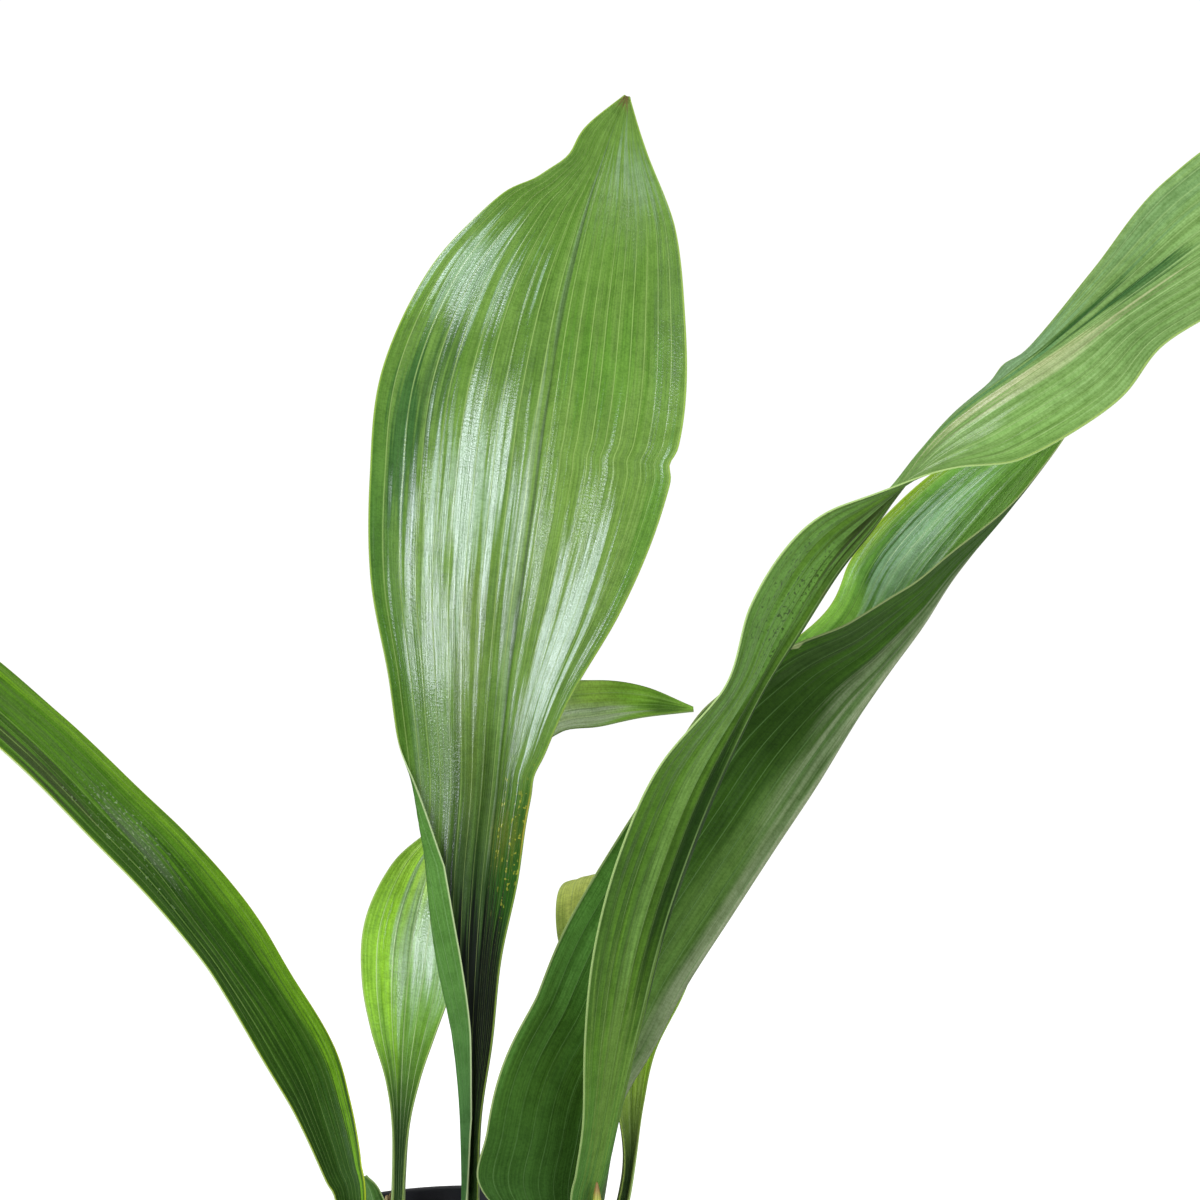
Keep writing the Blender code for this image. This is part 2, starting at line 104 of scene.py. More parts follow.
def applyAll(piece):
    onlyThis(piece)
    for modifier in list(piece.modifiers):
        bpy.ops.object.modifier_apply(modifier=modifier.name)


# smooths a finished piece and gives it to the frame in place of a CAD node
def hand(piece, node, angle):
    onlyThis(piece)
    bpy.ops.object.shade_smooth_by_angle(angle=math.radians(angle))
    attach(piece, "root")
    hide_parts(node)
    print("made", piece.name, len(piece.data.polygons), "faces")


# a grid primitive whose points are laid where the array says: rows along, columns across
def layGrid(name, points):
    along, across = points.shape[0] - 1, points.shape[1] - 1
    bpy.ops.object.select_all(action="DESELECT")
    bpy.ops.mesh.primitive_grid_add(x_subdivisions=across, y_subdivisions=along, size=1)
    piece = bpy.context.object
    piece.name = piece.data.name = name
    flat = np.empty(len(piece.data.vertices) * 3)
    piece.data.vertices.foreach_get("co", flat)
    flat = flat.reshape(-1, 3)
    column = np.rint((flat[:, 0] + 0.5) * across).astype(int)
    row = np.rint((flat[:, 1] + 0.5) * along).astype(int)
    piece.data.vertices.foreach_set("co", points[row, column].ravel())
    piece.data.update()
    return piece, row, column


def turnOutward():  # all faces of the mesh in edit mode
    bpy.ops.mesh.select_all(action="SELECT")
    bpy.ops.mesh.normals_make_consistent(inside=False)
    bpy.ops.object.mode_set(mode="OBJECT")


def solidify(piece, thickness, offset):
    shell = piece.modifiers.new("shell", "SOLIDIFY")
    shell.thickness = thickness * mm
    shell.offset = offset
    return shell


def pairUp(across, along):  # two arrays as the flat list of pairs that a UV map takes
    return np.stack([across, along], 1).astype(np.float32).ravel()


def addMap(piece, name, across, along):  # a UV map from one pair of numbers for each point
    corners = np.empty(len(piece.data.loops), int)
    piece.data.loops.foreach_get("vertex_index", corners)
    layer = piece.data.uv_layers.new(name=name)
    layer.uv.foreach_set("vector", pairUp(across[corners], along[corners]))


def smoothLine(rows, count):  # Catmull-Rom through the rows, evenly spaced by their first three numbers
    finer = 6  # points tried for each one kept
    rows = np.array(rows, float)
    spans = len(rows) - 1
    ends = np.vstack([2 * rows[0] - rows[1], rows, 2 * rows[-1] - rows[-2]])
    t = np.linspace(0, spans, count * finer)
    i = np.minimum(t.astype(int), spans - 1)
    f = (t - i)[:, None]
    a, b, c, d = ends[i], ends[i + 1], ends[i + 2], ends[i + 3]
    dense = b + f * ((c - a) / 2 + f * (a - 2.5 * b + 2 * c - d / 2 + f * (1.5 * (b - c) + (d - a) / 2)))
    steps = np.linalg.norm(np.diff(dense[:, :3], axis=0), axis=1)
    reached = np.concatenate([[0], np.cumsum(steps)])
    wanted = np.linspace(0, reached[-1], count)
    return np.column_stack([np.interp(wanted, reached, column) for column in dense.T]), reached[-1]


def headings(line):  # unit directions along a line of points
    travel = np.gradient(line, axis=0)
    return travel / np.linalg.norm(travel, axis=1)[:, None]


def carriedFrames(line):  # side and front for each point, with the front carried along from -Y
    front = np.array([0.0, -1.0, 0.0])
    sides, fronts = [], []
    for direction in headings(line):
        front = front - direction * front.dot(direction)
        front /= np.linalg.norm(front)
        sides.append(np.cross(direction, front))
        fronts.append(front)
    return np.array(sides), np.array(fronts)


def drift(x, seed):  # slow uneven waves, about -1 to 1
    waves = np.sin(6.3 * x + seed) + 0.6 * np.sin(13.1 * x + 2.3 * seed)
    return (waves + 0.35 * np.sin(27.7 * x + 4.1 * seed)) / 1.6


def ease(x, low, high):
    x = np.clip((x - low) / (high - low), 0, 1)
    return x * x * (3 - 2 * x)


def hump(x, centre, reach):  # 1 at the centre, and nearly 0 two reaches away
    return np.exp(-(((x - centre) / reach) ** 2))


# What every leaf shares, in mm: the curve at the midrib, the groove over it, the rib under it and
# the margin. Pleats are long folds between the veins; a share runs from 0 at the midrib to 1.
blade = {
    "keel": 3.0, "grooveWidth": 0.9, "grooveDepth": 0.5, "ribWidth": 2.6, "margin": 0.55, "narrowest": 0.4,
    "pleatWander": 0.1, "secondPleat": (0.6, 1.63), "pleatStart": (0.05, 0.3), "pleatEnd": (0.6, 0.95),
    "pleatLoss": 0.6, "foldSoft": 0.08, "mapUnit": 100,
    # where the baked texture holds the two sides and the margins between them
    "bake": {
        "left": 0.02, "width": 0.455, "under": 0.5, "low": 0.01, "height": 0.98,
        "strip": 0.002, "stripStep": 0.49, "stripWidth": 0.012,
    },
}

# What a side of a leaf looks like unless it says otherwise. Places on the blade are given as s, from
# -1 at the left margin to 1 at the right, and t, from 0 at the foot to 1 at the tip, then how far
# they reach across and along. Washes are smooth and marks are torn lengthwise; besides the leaf's own
# tones, both paint light and shade: painted shade in channels, creases and at the foot, painted
# highlights and painted sheen, and painted light on leaves that stand in the others' shade. Flecks are
# dots with a size in mm, and sheen is where the wax is whole.
glossy = {
    "wax": 1.8, "shine": 0.14, "bands": 0.7, "streaks": 0.15, "rimShow": 0.7,
    "toneAndPaintedLightWashes": [], "toneAndPaintedLightMarks": [], "flecks": [], "sheen": [],
}
dull = {
    "wax": 1.45, "shine": 0.08, "bands": 0.35, "streaks": 0.05, "rimShow": 0.7, "veinShow": 0.5,
    "rough": (0.5, 0.6), "toneAndPaintedLightWashes": [], "toneAndPaintedLightMarks": [], "flecks": [], "sheen": [],
}

# A station is the midrib's x, y, z, then width, bearing and curl of the left half and of the right
# half, in mm and degrees. Bearings: 0 right, 90 front, 180 left. The upper side is between them.
# Ripples and nicks are side, t, reach in t and height or depth in mm; a fold is t, share and angle.
tallUpright = {
    "node": "leaf_tall_upright", "slot": "leaf", "seed": 1.0, "across": 96, "along": 230, "rib": (3.0, 1.2),
    "pleats": (4, 0.4), "sway": 1.2,
    "ripples": [
        (-1, 0.905, 0.02, -2.2), (-1, 0.87, 0.02, 1.6), (1, 0.69, 0.012, 1.0), (-1, 0.34, 0.1, 2.0),
    ],
    "nicks": [
        (-1, 0.925, 0.022, 6.5), (-1, 0.9, 0.012, 2.5), (1, 0.675, 0.008, 2.2), (1, 0.41, 0.012, 1.5),
    ],
    "fold": [
        (0.05, 0.45, 60), (0.13, 0.47, 150), (0.2, 0.54, 158), (0.26, 0.63, 160), (0.33, 0.74, 155),
        (0.4, 0.94, 120), (0.46, 1.15, 60), (0.6, 1.3, 0),
    ],
    "stations": [
        (2.0, 0, 120.3, 3.4, 135, 10, 3.4, 40, 10), (2.3, 0, 152, 4.5, 130, 20, 3.6, 45, 20),
        (2.7, 0, 185, 9, 158, 0, 4.5, 40, 10), (4.2, 1, 217, 17, 170, 0, 8, 30, 10),
        (6.6, 2, 250, 30, 174, 0, 9, 28, 5), (9.4, 4, 282, 36, 176, 0, 13, 25, 0),
        (13.4, 6, 318, 40, 172, 10, 15, 25, 0), (17.4, 8, 355, 51, 168, 25, 25, 20, 0),
        (22.6, 11, 396, 63, 168, 10, 42, 12, 0), (28.2, 15, 437, 69, 168, 5, 53, 10, 0),
        (33.9, 20, 479, 70, 169, 0, 57, 10, 0), (40.8, 27, 521, 58, 170, 0, 51, 12, 0),
        (49.9, 36, 560, 34, 170, 0, 38, 12, 0), (59.3, 45, 591, 14, 170, 0, 16, 12, 0),
        (66.6, 52, 612, 1.2, 170, 0, 1.2, 12, 0),
    ],
    "upper": glossy | {
        "wax": 2.0, "streaks": 0.05, "green": "#5F862C", "light": "#7A9B48", "deep": "#42681A",
        # the dark stalk colour, reaching far up this side by its foot setting, is partly painted shade inside
        # the channel
        "vein": "#A9C071", "edge": "#9DB84A", "stalk": "#2A4A14", "foot": (0.14, 0.42), "veinShow": 0.55,
        "rough": (0.42, 0.55),
        "flecks": [(0.75, 0.36, 0.6, 0.06, "#B5B23A", 0.9, 1.0)],
        # the darkest washes, over the channel's middle and across the foot, are painted shade
        "toneAndPaintedLightWashes": [
            (-1.0, 0.55, 0.24, 0.2, "#3E6E1E", 0.75), (0.3, 0.6, 1.2, 0.16, "#7C9A44", 0.5),
            (-0.12, 0.39, 0.5, 0.09, "#44601E", 0.95), (0.7, 0.35, 0.9, 0.07, "#3E6A18", 0.9),
            (0.0, 0.31, 1.2, 0.08, "#2E4818", 0.95), (0.75, 0.31, 0.8, 0.1, "#2A5E0C", 0.95),
            (0.0, 0.23, 2.0, 0.08, "#1C300C", 1.0), (-0.28, 0.5, 0.16, 0.14, "#6E8636", 0.6),
        ],
        # the pale grey-green marks are painted sheen; the thin dark line by the midrib and the near-black
        # marks at the foot are painted shade; the yellow-brown margin and the brown tip are the leaf's own
        "toneAndPaintedLightMarks": [
            (-0.7, 0.72, 0.16, 0.1, "#3C5E2A", 0.7), (-0.92, 0.79, 0.16, 0.06, "#6C9A1E", 0.5),
            (0.4, 0.75, 0.4, 0.05, "#5C9226", 0.35), (0.95, 0.62, 0.2, 0.07, "#5C8E2A", 0.6),
            (-0.75, 0.81, 0.4, 0.05, "#9FBE9A", 0.7), (-0.82, 0.68, 0.12, 0.1, "#35602A", 0.8),
            (-0.38, 0.64, 0.3, 0.08, "#A4BE9C", 0.7), (-0.05, 0.6, 0.06, 0.3, "#93A682", 0.5),
            (-0.012, 0.68, 0.016, 0.3, "#4A5E3C", 0.6), (0.55, 0.49, 0.26, 0.1, "#BAD0B8", 0.75),
            (0.0, 0.86, 1.6, 0.1, "#587F2C", 0.3), (0.0, 0.24, 0.9, 0.07, "#16290A", 0.9),
            (0.2, 0.19, 1.6, 0.12, "#0A1406", 1.0), (0.5, 0.36, 0.5, 0.03, "#6E7A22", 0.6),
            (1.0, 0.38, 0.07, 0.05, "#B98A2E", 1.0), (0.0, 1.0, 1.2, 0.012, "#7A5A3A", 0.9),
            (0.6, 0.93, 0.4, 0.04, "#84A07A", 0.5),
        ],
        "sheen": [
            (-0.55, 0.5, 0.36, 0.12, 1.0), (-0.5, 0.62, 0.3, 0.08, 0.8), (0.52, 0.5, 0.34, 0.13, 1.0),
            (0.08, 0.58, 0.1, 0.14, 0.9), (-0.6, 0.4, 0.3, 0.08, 0.6), (0.45, 0.6, 0.14, 0.1, 0.8),
            (-0.75, 0.8, 0.45, 0.06, 1.0), (-0.35, 0.68, 0.3, 0.08, 0.9), (0.36, 0.45, 0.34, 0.06, 1.0),
            (-0.55, 0.42, 0.22, 0.1, 0.9), (0.85, 0.8, 0.12, 0.15, 0.7), (0.5, 0.9, 0.5, 0.05, 0.6),
        ],
    },
    "under": dull | {
        "streaks": 0.03, "green": "#5C8A3C", "light": "#6C9A4E", "deep": "#48742E", "vein": "#8FB277",
        "edge": "#BCCB95", "stalk": "#4E7A42", "foot": (0.08, 0.3), "rimShow": 0.9, "rough": (0.45, 0.55),
    },
}

leftArching = {
    "node": "leaf_left_arching", "slot": "leaf", "seed": 2.0, "across": 72, "along": 190, "rib": (3.0, 1.1),
    "pleats": (5, 0.35), "sway": 0.8,
    "stations": [
        (-42, -18, 120.3, 3.4, 130, 10, 3.4, 0, 10), (-44.7, -20, 158, 7.5, 118, 10, 7, -10, 10),
        (-48.6, -20, 170, 10, 117, 10, 10, -26, 10), (-55.7, -21, 192, 15, 114, 5, 16, -46, 5),
        (-62.3, -22, 210, 21, 111, 5, 22, -60, 5), (-75, -24, 233, 28, 101, 0, 29, -71, 0),
        (-90, -26, 255, 32, 94, 0, 34, -72, 0), (-102, -28, 272, 34, 93, 0, 35, -74, 0),
        (-117, -30, 293, 36, 95, 0, 36, -80, 0), (-134, -32, 312, 38, 95, 0, 38, -84, 0),
        (-165, -35, 345, 40, 95, 0, 39, -88, 0), (-203, -38, 376, 39, 95, 0, 38, -86, 0),
        (-250, -41, 399, 32, 95, 0, 32, -84, 0), (-297, -43, 403, 17, 93, 0, 17, -84, 0),
        (-330, -44, 394, 1.2, 93, 0, 1.2, -84, 0),
    ],
    "upper": glossy | {
        "wax": 1.6, "shine": 0.12, "bands": 0.4, "green": "#578A1A", "light": "#72A232", "deep": "#386810",
        "vein": "#85A256", "edge": "#A9BC22", "stalk": "#375A1C", "foot": (0.1, 0.5), "veinShow": 0.8,
        "rimShow": 1.0, "rough": (0.4, 0.55),
        "flecks": [(0.0, 0.47, 0.6, 0.07, "#AFC09A", 0.6, 0.7)],
        "toneAndPaintedLightMarks": [
            (0.8, 0.45, 0.3, 0.5, "#7CB024", 0.85), (0.0, 0.34, 0.6, 0.16, "#2B5210", 0.7),
            (-0.6, 0.42, 0.5, 0.4, "#2C4C16", 0.6), (-0.7, 0.56, 0.25, 0.05, "#4A5334", 0.7),
            (-0.05, 0.46, 0.3, 0.05, "#8FA47C", 0.3), (0.0, 0.68, 0.4, 0.1, "#587A34", 0.4),
        ],
        "sheen": [(0.1, 0.5, 0.3, 0.1, 0.35)],
    },
    "under": dull | {
        "green": "#5E8250", "light": "#7F9E70", "deep": "#496B3E", "vein": "#8FAE80", "edge": "#B9C98E",
        "stalk": "#557A48", "foot": (0.08, 0.3), "rimShow": 0.8,
    },
}

backLeft = {
    "node": "leaf_back_left", "slot": "young_leaf", "seed": 3.0, "across": 52, "along": 120,
    "rib": (2.6, 1.1), "pleats": (3, 0.14), "sway": 0.5,
    "stations": [
        (-30, 27, 120.3, 3.0, 135, 10, 3.0, 40, 10), (-29.4, 28, 145, 2.4, 135, 10, 2.4, 45, 10),
        (-28.6, 29, 174, 3.2, 135, 10, 3.8, 40, 10), (-28.0, 30, 195, 7, 145, 10, 8.5, 35, 5),
        (-27.1, 31, 216, 14.5, 155, 5, 15, 28, 0), (-25.6, 33, 236, 20, 160, 0, 20, 22, 0),
        (-23.3, 37, 257, 21.5, 162, 0, 20, 20, 0), (-18.5, 43, 278, 16.5, 162, 0, 15, 20, 0),
        (-13, 50, 294, 7, 162, 0, 7, 20, 0), (-9, 56, 305, 1.2, 162, 0, 1.2, 20, 0),
    ],
    "upper": glossy | {
        "green": "#7CB236", "light": "#94C654", "deep": "#609626", "vein": "#D3E8A8", "edge": "#B2CD6C",
        "stalk": "#33531F", "foot": (0.25, 0.6), "veinShow": 1.0, "rimShow": 0.8, "rough": (0.26, 0.46),
        # painted light: the bright yellow-green washes stand for light through this leaf, which stands in the
        # others' shade; the pale grey-green washes and the pale mark are painted sheen
        "toneAndPaintedLightWashes": [
            (-0.2, 0.9, 2.0, 0.24, "#DCFF84", 1.0), (-0.6, 0.7, 0.7, 0.3, "#B4EE3C", 0.9),
            (0.5, 0.66, 0.9, 0.2, "#B4DC98", 0.7), (0.1, 0.72, 0.4, 0.14, "#C6EAA0", 0.7),
        ],
        "toneAndPaintedLightMarks": [(0.45, 0.7, 0.7, 0.24, "#A8CB94", 0.8), (-0.9, 0.75, 0.3, 0.2, "#7FB02E", 0.5)],
        "sheen": [(0.4, 0.7, 0.9, 0.22, 1.0), (-0.4, 0.84, 0.4, 0.08, 0.5), (-0.25, 0.62, 0.12, 0.1, 0.6)],
    },
    "under": dull | {
        "green": "#6F9850", "light": "#8DB36C", "deep": "#5A8440", "vein": "#A6C586", "edge": "#BDD48C",
        "stalk": "#4A7238", "foot": (0.1, 0.4), "rimShow": 0.8,
    },
}

smallBent = {
    "node": "leaf_small_bent", "slot": "young_leaf", "seed": 4.0, "across": 44, "along": 130,
    "rib": (2.4, 0.9), "pleats": (2, 0.12), "sway": 0.4,
    "stations": [
        (2.0, 20, 120.3, 3.0, 140, 10, 3.0, 40, 10), (1.5, 22, 165, 2.4, 140, 10, 2.4, 40, 10),
        (3, 26, 215, 2.4, 150, 10, 2.4, 45, 10), (7, 31, 265, 3.0, 165, 10, 2.8, 45, 10),
        (13, 35, 300, 7, 180, 5, 5, 45, 5), (20, 38, 328, 13, 195, 5, 4.5, 48, 5),
        (36, 40, 344, 17.5, 205, 5, 7, 55, 5), (54.6, 41, 348, 17.5, 208, 0, 10, 60, 0),
        (73.6, 42, 350, 12, 205, 0, 7, 65, 0), (94.7, 43, 350, 1.2, 200, 0, 1.2, 65, 0),
    ],
    "upper": glossy | {
        "green": "#9CD83C", "light": "#B8E868", "deep": "#80C02C", "vein": "#B0D07A", "edge": "#9BBA56",
        "stalk": "#3A6426", "foot": (0.5, 0.7), "veinShow": 0.8, "rimShow": 0.6, "rough": (0.3, 0.46),
        # painted light: the bright washes and the pale mark brighten this leaf, which lies in the tall leaf's
        # shade
        "toneAndPaintedLightWashes": [
            (0.0, 0.8, 2.0, 0.08, "#EEFFB0", 1.0), (-0.6, 0.86, 0.8, 0.05, "#D4FF70", 0.9),
            (0.0, 0.96, 2.0, 0.04, "#5E8A2C", 0.9), (0.55, 0.84, 0.9, 0.08, "#E8FFC8", 1.0),
        ],
        "toneAndPaintedLightMarks": [(0.7, 0.82, 0.8, 0.1, "#E0F8C0", 0.9)],
        "sheen": [(0.6, 0.8, 0.9, 0.1, 1.0)],
    },
    "under": dull | {
        "green": "#6C9450", "light": "#8AB06C", "deep": "#577E3C", "vein": "#A0C084", "edge": "#AFC97E",
        "stalk": "#4A7238", "foot": (0.3, 0.6),
    },
}

backArching = {
    "node": "leaf_back_arching", "slot": "young_leaf", "seed": 5.0, "across": 56, "along": 140,
    "rib": (2.8, 1.0), "pleats": (4, 0.2), "sway": 0.7,
    "stations": [
        (57, 9, 120.3, 3.2, 140, 10, 3.2, 40, 10), (59.5, 10.5, 133, 2.4, 140, 10, 2.4, 40, 10),
        (64.4, 13, 148, 2.0, 140, 10, 2.0, 40, 10), (67.3, 16, 166, 2.4, 145, 10, 2.4, 35, 10),
        (67.3, 20, 187, 6, 150, 5, 6, 30, 5), (67.5, 25, 208, 14, 160, 0, 11, 22, 0),
        (67.5, 33, 230, 23, 171, 0, 23, 13, 0), (68, 46, 252, 31, 184, 0, 31, 12, 0),
        (68.5, 72, 272, 33, 195, 0, 34, 13, 0), (70, 108, 277, 31, 200, 0, 33, 14, 0),
        (71, 146, 264, 24, 196, 0, 26, 8, 0), (72, 180, 240, 13, 190, 0, 13, 4, 0),
        (73, 202, 214, 1.2, 184, 0, 1.2, -4, 0),
    ],
    "upper": glossy | {
        "green": "#A9CC50", "light": "#BCDA6C", "deep": "#94B83E", "vein": "#B3CE7C", "edge": "#B5CF5E",
        "stalk": "#26400F", "foot": (0.12, 0.27), "veinShow": 0.7, "rimShow": 0.6, "rough": (0.36, 0.48),
        # painted light: both washes brighten this leaf, which stands in the others' shade
        "toneAndPaintedLightWashes": [(-0.7, 0.56, 1.6, 0.16, "#F0FF80", 1.0), (0.4, 0.34, 1.6, 0.1, "#C8F044", 1.0)],
        "toneAndPaintedLightMarks": [(0.85, 0.34, 0.4, 0.08, "#7FC21E", 0.6)],
    },
    "under": dull | {
        "green": "#7DA450", "light": "#9ABD70", "deep": "#688E40", "vein": "#B0CC88", "edge": "#BCD27E",
        "stalk": "#4D7438", "foot": (0.1, 0.35),
    },
}

rightTwisted = {
    "node": "leaf_right_twisted", "slot": "leaf", "seed": 6.0, "across": 96, "along": 260,
    "rib": (3.4, 1.3), "pleats": (6, 0.5), "sway": 0.8,
    "ripples": [(-1, 0.683, 0.01, 2.0)],
    "nicks": [(1, 0.735, 0.025, 7.0), (-1, 0.683, 0.01, -1.5)],
    "stations": [
        (45, -15, 120.3, 3.6, 228, 5, 3.6, 132, 5), (51, -19, 156, 7, 232, 0, 11, 150, 0),
        (55, -22, 171, 10, 238, 0, 13, 148, 0), (60, -28, 194, 14, 244, 0, 16, 144, 0),
        (68.5, -39, 230, 22, 250, 0, 26, 141, 0), (77.5, -50, 267, 30, 252, 0, 34, 138, 0),
        (88, -56, 299, 36, 252, 0, 40, 134, 0), (99.5, -60, 328, 39, 254, 0, 42, 130, 0),
        (115, -63, 361, 42, 262, 0, 43, 115, 0), (130, -66, 385, 43, 260, 0, 44, 126, 0),
        (144, -68, 407, 44, 262, 0, 44, 126, 0), (157, -69, 423.5, 44, 268, 0, 44, 115, 0),
        (168, -70, 439, 44, 274, 0, 44, 96, 0), (180, -70, 455, 44, 276, 0, 44, 72, 0),
        (196.5, -70, 469, 44, 272, 0, 44, 57, 0), (228, -69, 490, 44, 265, 0, 43, 54, 0),
        (262, -67, 514, 43, 248, 0, 45, 66, 0), (295, -64, 536, 44, 228, 0, 47, 56, 0),
        (328, -60, 553, 45, 224, 0, 41, 48, 0), (362, -55, 561, 25, 228, 0, 22, 46, 0),
        (392, -50, 558, 1.2, 226, 0, 1.2, 46, 0),
    ],
    "upper": glossy | {
        "shine": 0.0, "streaks": 0.0, "green": "#789A54", "light": "#96B674", "deep": "#5E8044",
        "vein": "#A3BC7C", "edge": "#98B050", "stalk": "#5B8440", "foot": (0.05, 0.2), "veinShow": 0.6,
        "rough": (0.3, 0.5),
        "toneAndPaintedLightWashes": [(0.7, 0.64, 1.0, 0.08, "#7CA450", 0.5)],
        # the pale marks are painted highlights on the twist, and the narrow dark ones are painted shade in
        # its creases
        "toneAndPaintedLightMarks": [
            (-0.75, 0.69, 0.3, 0.08, "#86AE84", 0.6), (0.0, 0.66, 0.1, 0.1, "#BCC08C", 0.6),
            (-0.45, 0.7, 0.1, 0.07, "#3E6634", 0.95), (-0.22, 0.73, 0.08, 0.07, "#41693A", 0.95),
            (-0.1, 0.77, 0.06, 0.05, "#4C7240", 0.8), (0.14, 0.68, 0.12, 0.08, "#BDBF94", 0.55),
            (-0.3, 0.66, 0.1, 0.06, "#5C8E62", 0.6), (-0.8, 0.8, 0.3, 0.06, "#7A9C6A", 0.5),
        ],
        "sheen": [(-0.7, 0.67, 0.3, 0.06, 0.6), (0.3, 0.62, 0.4, 0.05, 0.7)],
    },
    "under": dull | {
        "streaks": 0.12, "green": "#577E24", "light": "#6E9634", "deep": "#42641A", "vein": "#8CAA62",
        "edge": "#A9C078", "stalk": "#55803A", "foot": (0.05, 0.22), "veinShow": 0.6, "rimShow": 0.8,
        "rough": (0.36, 0.54),
        "flecks": [(0.5, 0.47, 0.5, 0.05, "#2F3A1A", 0.7, 0.7)],
        # the dark wash beside the keel is painted shade of the leaf's far half, and the light one on the
        # ridge is a painted highlight
        "toneAndPaintedLightWashes": [
            (0.1, 0.34, 0.34, 0.2, "#1F3A0E", 0.95), (0.25, 0.53, 0.4, 0.06, "#2E3A16", 0.9),
            (0.46, 0.32, 0.14, 0.2, "#84A856", 0.7), (0.85, 0.31, 0.5, 0.1, "#466E1E", 0.5),
        ],
        "toneAndPaintedLightMarks": [
            (0.8, 0.47, 0.9, 0.1, "#6B9640", 0.95), (0.8, 0.24, 0.5, 0.09, "#46662A", 0.6),
            (0.4, 0.15, 0.6, 0.08, "#6A8A3A", 0.8), (0.04, 0.49, 0.05, 0.008, "#5A4526", 0.7),
        ],
        "sheen": [(0.7, 0.42, 0.4, 0.1, 0.6)],
    },
}

rightBroad = {
    "node": "leaf_right_broad", "slot": "leaf", "seed": 7.0, "across": 92, "along": 220, "rib": (3.4, 1.2),
    "pleats": (6, 0.45), "sway": 0.8,
    "nicks": [(-1, 0.7, 0.05, 8.0)],
    "stations": [
        (46, -1, 120.3, 3.6, 222, 5, 3.6, 140, 5), (51, -1.5, 138, 12, 215, 0, 27, 160, 0),
        (54, -2, 155, 28, 212, 0, 51, 165, 0), (57.5, -2.5, 175, 34, 212, 0, 52, 165, 0),
        (62.5, -3, 195, 38, 212, 0, 53, 164, 0), (75, -3, 216, 42, 212, 0, 56, 162, 0),
        (88.5, -2, 241, 44, 210, 0, 59, 162, 0), (108, 1, 270, 46, 208, 0, 61, 162, 0),
        (125, 4, 295, 46, 206, 0, 62, 160, 0), (143, 7, 321, 46, 202, 0, 62, 160, 0),
        (160, 9, 348, 45, 198, 0, 57, 146, 0), (173, 11, 367, 45, 196, 0, 50, 128, 0),
        (187, 14, 386, 43, 195, 0, 45, 117, 0), (200, 17, 406, 39, 194, 0, 38, 108, 0),
        (220, 21, 431, 33, 193, 0, 30, 97, 0), (236, 24, 451, 22, 192, 0, 18, 96, 0),
        (251, 27, 471, 1.2, 192, 0, 1.2, 96, 0),
    ],
    "upper": glossy | {
        "streaks": 0.06, "green": "#6A9F34", "light": "#8ABA5A", "deep": "#4C841E", "vein": "#86AA56",
        "edge": "#97AF3C", "stalk": "#3F6A2A", "foot": (0.1, 0.4), "veinShow": 0.8, "rough": (0.26, 0.44),
        # the bright yellow-green wash at the left margin is painted light, and the pale grey-green wash and
        # the pale mark are painted sheen
        "toneAndPaintedLightWashes": [
            (-0.72, 0.8, 0.2, 0.12, "#2F6006", 1.0), (-0.97, 0.84, 0.12, 0.12, "#7E9E14", 0.9),
            (-0.95, 0.71, 0.4, 0.05, "#96CC50", 0.9), (-0.45, 0.8, 0.3, 0.12, "#90C080", 0.5),
        ],
        "toneAndPaintedLightMarks": [(-0.5, 0.8, 0.3, 0.12, "#9CC49A", 0.45)],
        "sheen": [(-0.55, 0.82, 0.5, 0.12, 1.0)],
    },
    "under": dull | {
        "bands": 0.5, "green": "#385C14", "light": "#4A7222", "deep": "#26420C", "vein": "#5F8046",
        "edge": "#A9B878", "stalk": "#3F6428", "foot": (0.05, 0.25), "veinShow": 0.7, "rough": (0.4, 0.56),
        # the pale grey-green washes along the keel are a painted highlight, and the green wash on the right
        # side is painted light
        "toneAndPaintedLightWashes": [
            (0.24, 0.42, 0.2, 0.24, "#66883E", 0.75), (0.5, 0.6, 0.5, 0.1, "#26400E", 0.7),
            (0.0, 0.72, 0.34, 0.24, "#B4BE98", 1.0), (0.03, 0.5, 0.11, 0.5, "#A4AE88", 0.95),
            (0.9, 0.32, 0.5, 0.16, "#689C46", 0.8), (0.6, 0.12, 1.0, 0.06, "#35581C", 0.5),
        ],
        "toneAndPaintedLightMarks": [(0.95, 0.68, 0.5, 0.06, "#3B5326", 0.7), (0.97, 0.643, 0.05, 0.004, "#B9C08A", 0.9)],
    },
}

leftYoung = {
    "node": "leaf_left_young", "slot": "young_leaf", "seed": 8.0, "across": 24, "along": 48,
    "rib": (2.2, 0.9), "pleats": (2, 0.15), "sway": 0.1,
    "stations": [
        (-28, -10.5, 120.3, 2.8, 150, 20, 2.8, 40, 20), (-31, -6, 133, 5, 155, 30, 5, 35, 30),
        (-35, -3, 146, 6, 155, 30, 6, 30, 30), (-38, -1, 156, 4, 155, 20, 4, 30, 20),
        (-41, 0, 162, 1.0, 155, 10, 1.0, 30, 10),
    ],
    "upper": glossy | {
        "green": "#4F7C30", "light": "#6D9A4A", "deep": "#3B6222", "vein": "#8CAE68", "edge": "#A8C070",
        "stalk": "#44702E", "foot": (0.1, 0.5), "veinShow": 0.6, "rough": (0.4, 0.5),
    },
    "under": dull | {
        "green": "#5C8444", "light": "#7AA060", "deep": "#4A7034", "vein": "#94B67A", "edge": "#B0C484",
        "stalk": "#4D7838", "foot": (0.1, 0.4),
    },
}

leaves = [tallUpright, leftArching, backLeft, smallBent, backArching, rightTwisted, rightBroad, leftYoung]


